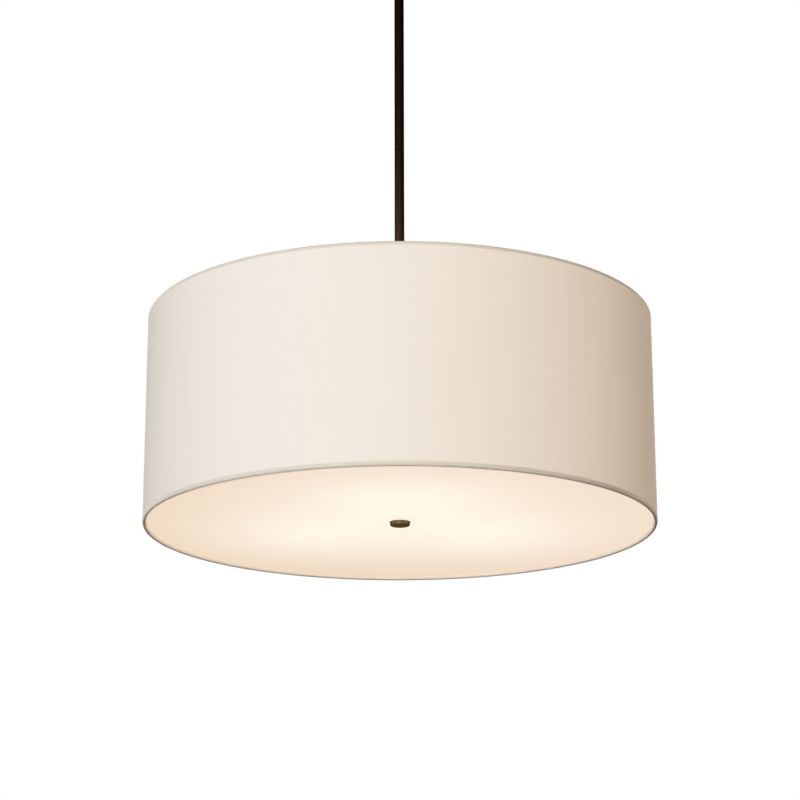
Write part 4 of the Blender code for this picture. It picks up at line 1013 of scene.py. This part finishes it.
# %% Lampholders
RIBS = 40
THREAD_PITCH = 0.0036
foot, waist, mouth, floor = 0.0003, 0.0063, 0.0463, 0.0103
fit, bore, narrow, groove, wide = 0.0053, 0.0142, 0.0147, 0.0167, 0.0172
profile = [(fit, foot), (narrow, foot), (narrow, waist), (wide, waist + 0.0025), (wide, 0.0125), (groove, 0.0130),
           (groove, 0.0142), (wide, 0.0147), (wide, 0.0410), (groove, 0.0414), (groove, 0.0424), (wide, 0.0428),
           (wide, mouth - 0.001), (0.0162, mouth), (bore, mouth), (bore, floor), (fit, floor)]
outline, edge = rounded(profile, 0.0004)
before = np.searchsorted(outline[: len(outline) // 2, 1], 0.0152)
ribbed = np.stack([np.full(16, wide), np.linspace(0.0155, 0.0402, 16)], axis=1)
outline = np.insert(outline, before, ribbed, axis=0)
edge = np.insert(edge, before, np.zeros(16))
radius, height = outline[:, :1], outline[:, 1:]
fade = np.clip(np.minimum(height - 0.0158, 0.0399 - height) / 0.0016, 0, 1) * (radius > 0.0165)
dips = 0.00035 * (0.5 - 0.5 * np.cos(RIBS * angles(240))) ** 2
holder = spin(outline, 240)
holder[..., :2] *= (1 - fade * dips / radius)[..., None]
copies("lampholder", "socket", on_lamps(holder), "phenolic", edge=edge, smooth_deg=35)

# %% Screw shells, nipples and caps
CAP_RADIUS = 0.0130
heights = np.linspace(0.0163, 0.0383, 50)[:, None]
inside = 0.01349 + 0.00009 * np.sin(tau * heights / THREAD_PITCH - angles(48))
shell = swept(join([inside, (inside + 0.0003)[::-1]]), join([heights, heights[::-1]]), 48)
lower = [(0, 0.0158), (0.0040, 0.0158), (0.0045, 0.0161), (0.0045, 0.0172), (0.0058, 0.0175), (0.0116, 0.0200),
         (0.0124, 0.0208)]
upper = [(0.0131, 0.0424), (CAP_RADIUS, 0.0428), (0.0127, 0.0428), (0.0127, 0.0398), (0, 0.0398)]
heights = np.linspace(0.0212, 0.0418, 60)[:, None]
threaded = 0.01265 + 0.00042 * np.sin(tau * heights / THREAD_PITCH - angles(48))
threaded = CAP_RADIUS + (threaded - CAP_RADIUS) * np.clip((0.0418 - heights) / 0.003, 0, 1)
cap = join([spin(np.array(lower), 48), swept(threaded, heights, 48), spin(np.array(upper), 48)])
outline, edge = rounded(tube(0.0035, 0.005, -0.006, 0.010), 0.0004)
copies("threaded_shell", "screw_shell", on_lamps(shell), "brass", smooth_deg=60)
copies("threaded_cap", "bulb_cap", on_lamps(cap), "lamp_cap", "lamp_#", closed=False, smooth_deg=60)
copies("nipple", "socket_nipple", on_lamps(spin(outline, 40)), "plated_steel", edge=edge)

# %% [markdown]
# ## Swivel, knobs, leads and washers
#
# The swivel is a turned half-ball in a nylon seat, so the stem hangs plumb below a sloping ceiling. The seat's
# mouth opens in a cone, and the stem can lean by 25 degrees without touching it. The two canopy knobs are balls
# with a knurled belt. A knurl is two sets of slanting grooves: the radius dips where the sine of
# (angle + height) or of (angle - height) comes near zero.

# %% Swivel
BALL_Z = -0.013236
BALL_RADIUS = 0.016
SEAT_RADIUS = BALL_RADIUS + 0.0003
TILT = radians(25)
FLAT = 0.002  # height of the ball's flat top above its middle
flat_turn = asin(FLAT / BALL_RADIUS)
bottom_deg = degrees(asin(0.0063 / BALL_RADIUS)) - 90
ball = arc((0, BALL_Z), BALL_RADIUS, bottom_deg, degrees(flat_turn), 25)
top = [(ball[-1, 0] - 0.0003, BALL_Z + FLAT), (0.0065, BALL_Z + FLAT), (0.0063, BALL_Z + 0.0018)]
grid = spin(join([ball, top]), 80)
skin("swivel_half_ball", grid, "dark_bronze", "swivel_ball", smooth_deg=50)

seat_low = span("swivel_seat")[0]
lower = TILT + asin((0.006 + 0.0006 * cos(TILT)) / SEAT_RADIUS)
upper = pi / 2 + flat_turn - TILT - radians(1.2)
turn = np.linspace(lower, upper, 18) - pi / 2
hollow = np.stack([SEAT_RADIUS * np.cos(turn), BALL_Z + SEAT_RADIUS * np.sin(turn)], axis=1)
rim_radius = CANOPY_HOLE + 0.004
in_hole = CANOPY_HOLE - 0.0003
base = BALL_Z - SEAT_RADIUS * cos(lower) - 0.0015
top = hollow[-1, 1]
mouth = (hollow[0, 0] + (hollow[0, 1] - seat_low) * tan(TILT), seat_low)
corners = [
    hollow[-1] + (0.0004, 0.00002), (rim_radius - 0.0015, top), (rim_radius, top - 0.0015), (rim_radius, base),
    (in_hole, base), (in_hole, seat_low), mouth, hollow[0] + (0.0008 * tan(TILT), -0.0008),
]
outline, edge = rounded(corners, closed=False)
grid = spin(join([hollow, outline]), 80)
edge = join([hollow[:, 0] * 0, edge])
skin("swivel_nylon_seat", grid, "nylon", "swivel_seat", "swivel", edge=edge)

# %% Canopy knobs
KNOB_RADIUS = 0.0055
KNURLS = 24
top, neck, bore = span("canopy")[0] - 0.0003, 0.0042, 0.0023
start = degrees(acos(neck / KNOB_RADIUS))
middle = top - 0.002 - KNOB_RADIUS * sin(radians(start))
ball = arc((0, middle), KNOB_RADIUS, start, -90, 44)
ball[-1, 0] = 0
corners = [(0, top - 0.007), (bore, top - 0.007), (bore, top), (neck, top), ball[0]]
hole, hole_edge = rounded(corners, closed=False)
outline = join([hole[:-1], ball])
edge = join([hole_edge[:-1], ball[:, 0] * 0])[:, None]
level = (outline[:, 1:] - middle) / KNOB_RADIUS
on_ball = (np.arange(len(outline)) >= len(hole) - 1)[:, None]
belt = np.clip((0.42 - np.abs(level)) / 0.06, 0, 1) * on_ball
one, other = (KNURLS * angles(144) + slant * level for slant in (9.0, -9.0))
groove = np.maximum(1 - np.abs(np.sin(one / 2)) * 4, 0) + np.maximum(1 - np.abs(np.sin(other / 2)) * 4, 0)
groove = np.clip(groove, 0, 1)
knob = spin(outline, 144)
knob[..., :2] *= (1 - belt * (0.00012 + 0.00022 * groove) / np.maximum(outline[:, :1], 0.001))[..., None]
edge = np.clip(edge + belt * (0.9 - 0.9 * groove), 0, 1)
grids = on_both(knob)
copies("knurled_knob", "canopy_knob", grids, "dark_bronze", "ceiling_mount", closed=False, edge=edge, smooth_deg=50)

# %% Leads, connectors and washers
LEAD_RADIUS = 0.0013
LEAD_REACH = 0.0045 - 0.0003 - LEAD_RADIUS
low, high = span("supply_lead_1")
heights = np.linspace(low + 0.0002, high - 0.0002, 60)
path = np.stack([np.full(60, LEAD_REACH), np.zeros(60), heights], axis=1)
grids = [carried(path * (side, 1, 1), np.full(60, LEAD_RADIUS), (0.0, 1.0, 0.0), 16) for side in (-1, 1)]
copies("lead", "supply_lead", grids, "lead_insulation", closed=False)
low, high = span("wire_connector_1")
floor, bore = low + 0.0015, 0.0016
outline, edge = rounded(
    [(0, low), (0.00185, low), (0.0025, high), (bore, high), (bore, floor), (0, floor)], 0.0004, closed=False
)
grids = on_both(spin(outline, 32), LEAD_REACH)
copies("crimp_connector", "wire_connector", grids, "connector_plastic", closed=False, edge=edge)
for name, outer in (("upper_washer", 0.009), ("lower_washer", 0.0095)):
    corners = tube(0.0033, outer, *span(name))
    turned_piece(name + "_rubber", corners, "washer_rubber", name, "diffuser", 0.00035)

# %% [markdown]
# ## Floor
#
# A plain pale floor lies well below the drum, out of the photograph's view. It catches a soft shadow when the
# drum is seen from above, and its own faint light grows with distance, so it melts into the white around it.
# Soft light that bounces off it is held back, or it would fill the hems from below.

# %% Floor
FLOOR_Z = -4.6
FLOOR_REACH = 30
nodes, shader = shaded("pale_floor", specular=0.2)
path = nodes.add("LightPath")
speckle = nodes.clouds((0.80, 0.80, 0.79), (0.78, 0.78, 0.77), 0.6, 1.5)["Colour"]
distance = nodes.add("VectorMath", {"operation": "LENGTH"}, i0=nodes.place())["Value"]
looks = nodes("MULTIPLY_ADD", path["Is Glossy Ray"], 0.5, path["Is Camera Ray"])
haze = nodes("MULTIPLY", nodes.ramp(distance, 5, 16, 0.42, 1, smooth=True), looks)
nodes.feed(
    shader, Base_Color=nodes.mix(path["Is Diffuse Ray"], speckle, (0.10, 0.10, 0.10, 1)), Roughness=0.8,
    Emission_Color=nodes.add("CombineColor", Red=haze, Green=haze, Blue=haze)[0], Emission_Strength=1,
)
corners = [(x * FLOOR_REACH, y * FLOOR_REACH, FLOOR_Z) for x, y in ((-1, -1), (1, -1), (1, 1), (-1, 1))]
mesh = bpy.data.meshes.new("floor")
mesh.from_pydata(corners, [], [(0, 1, 2, 3)])
mesh.materials.append(finishes["pale_floor"])
floor_plane = add_object("floor", mesh)
print("floor at", FLOOR_Z)
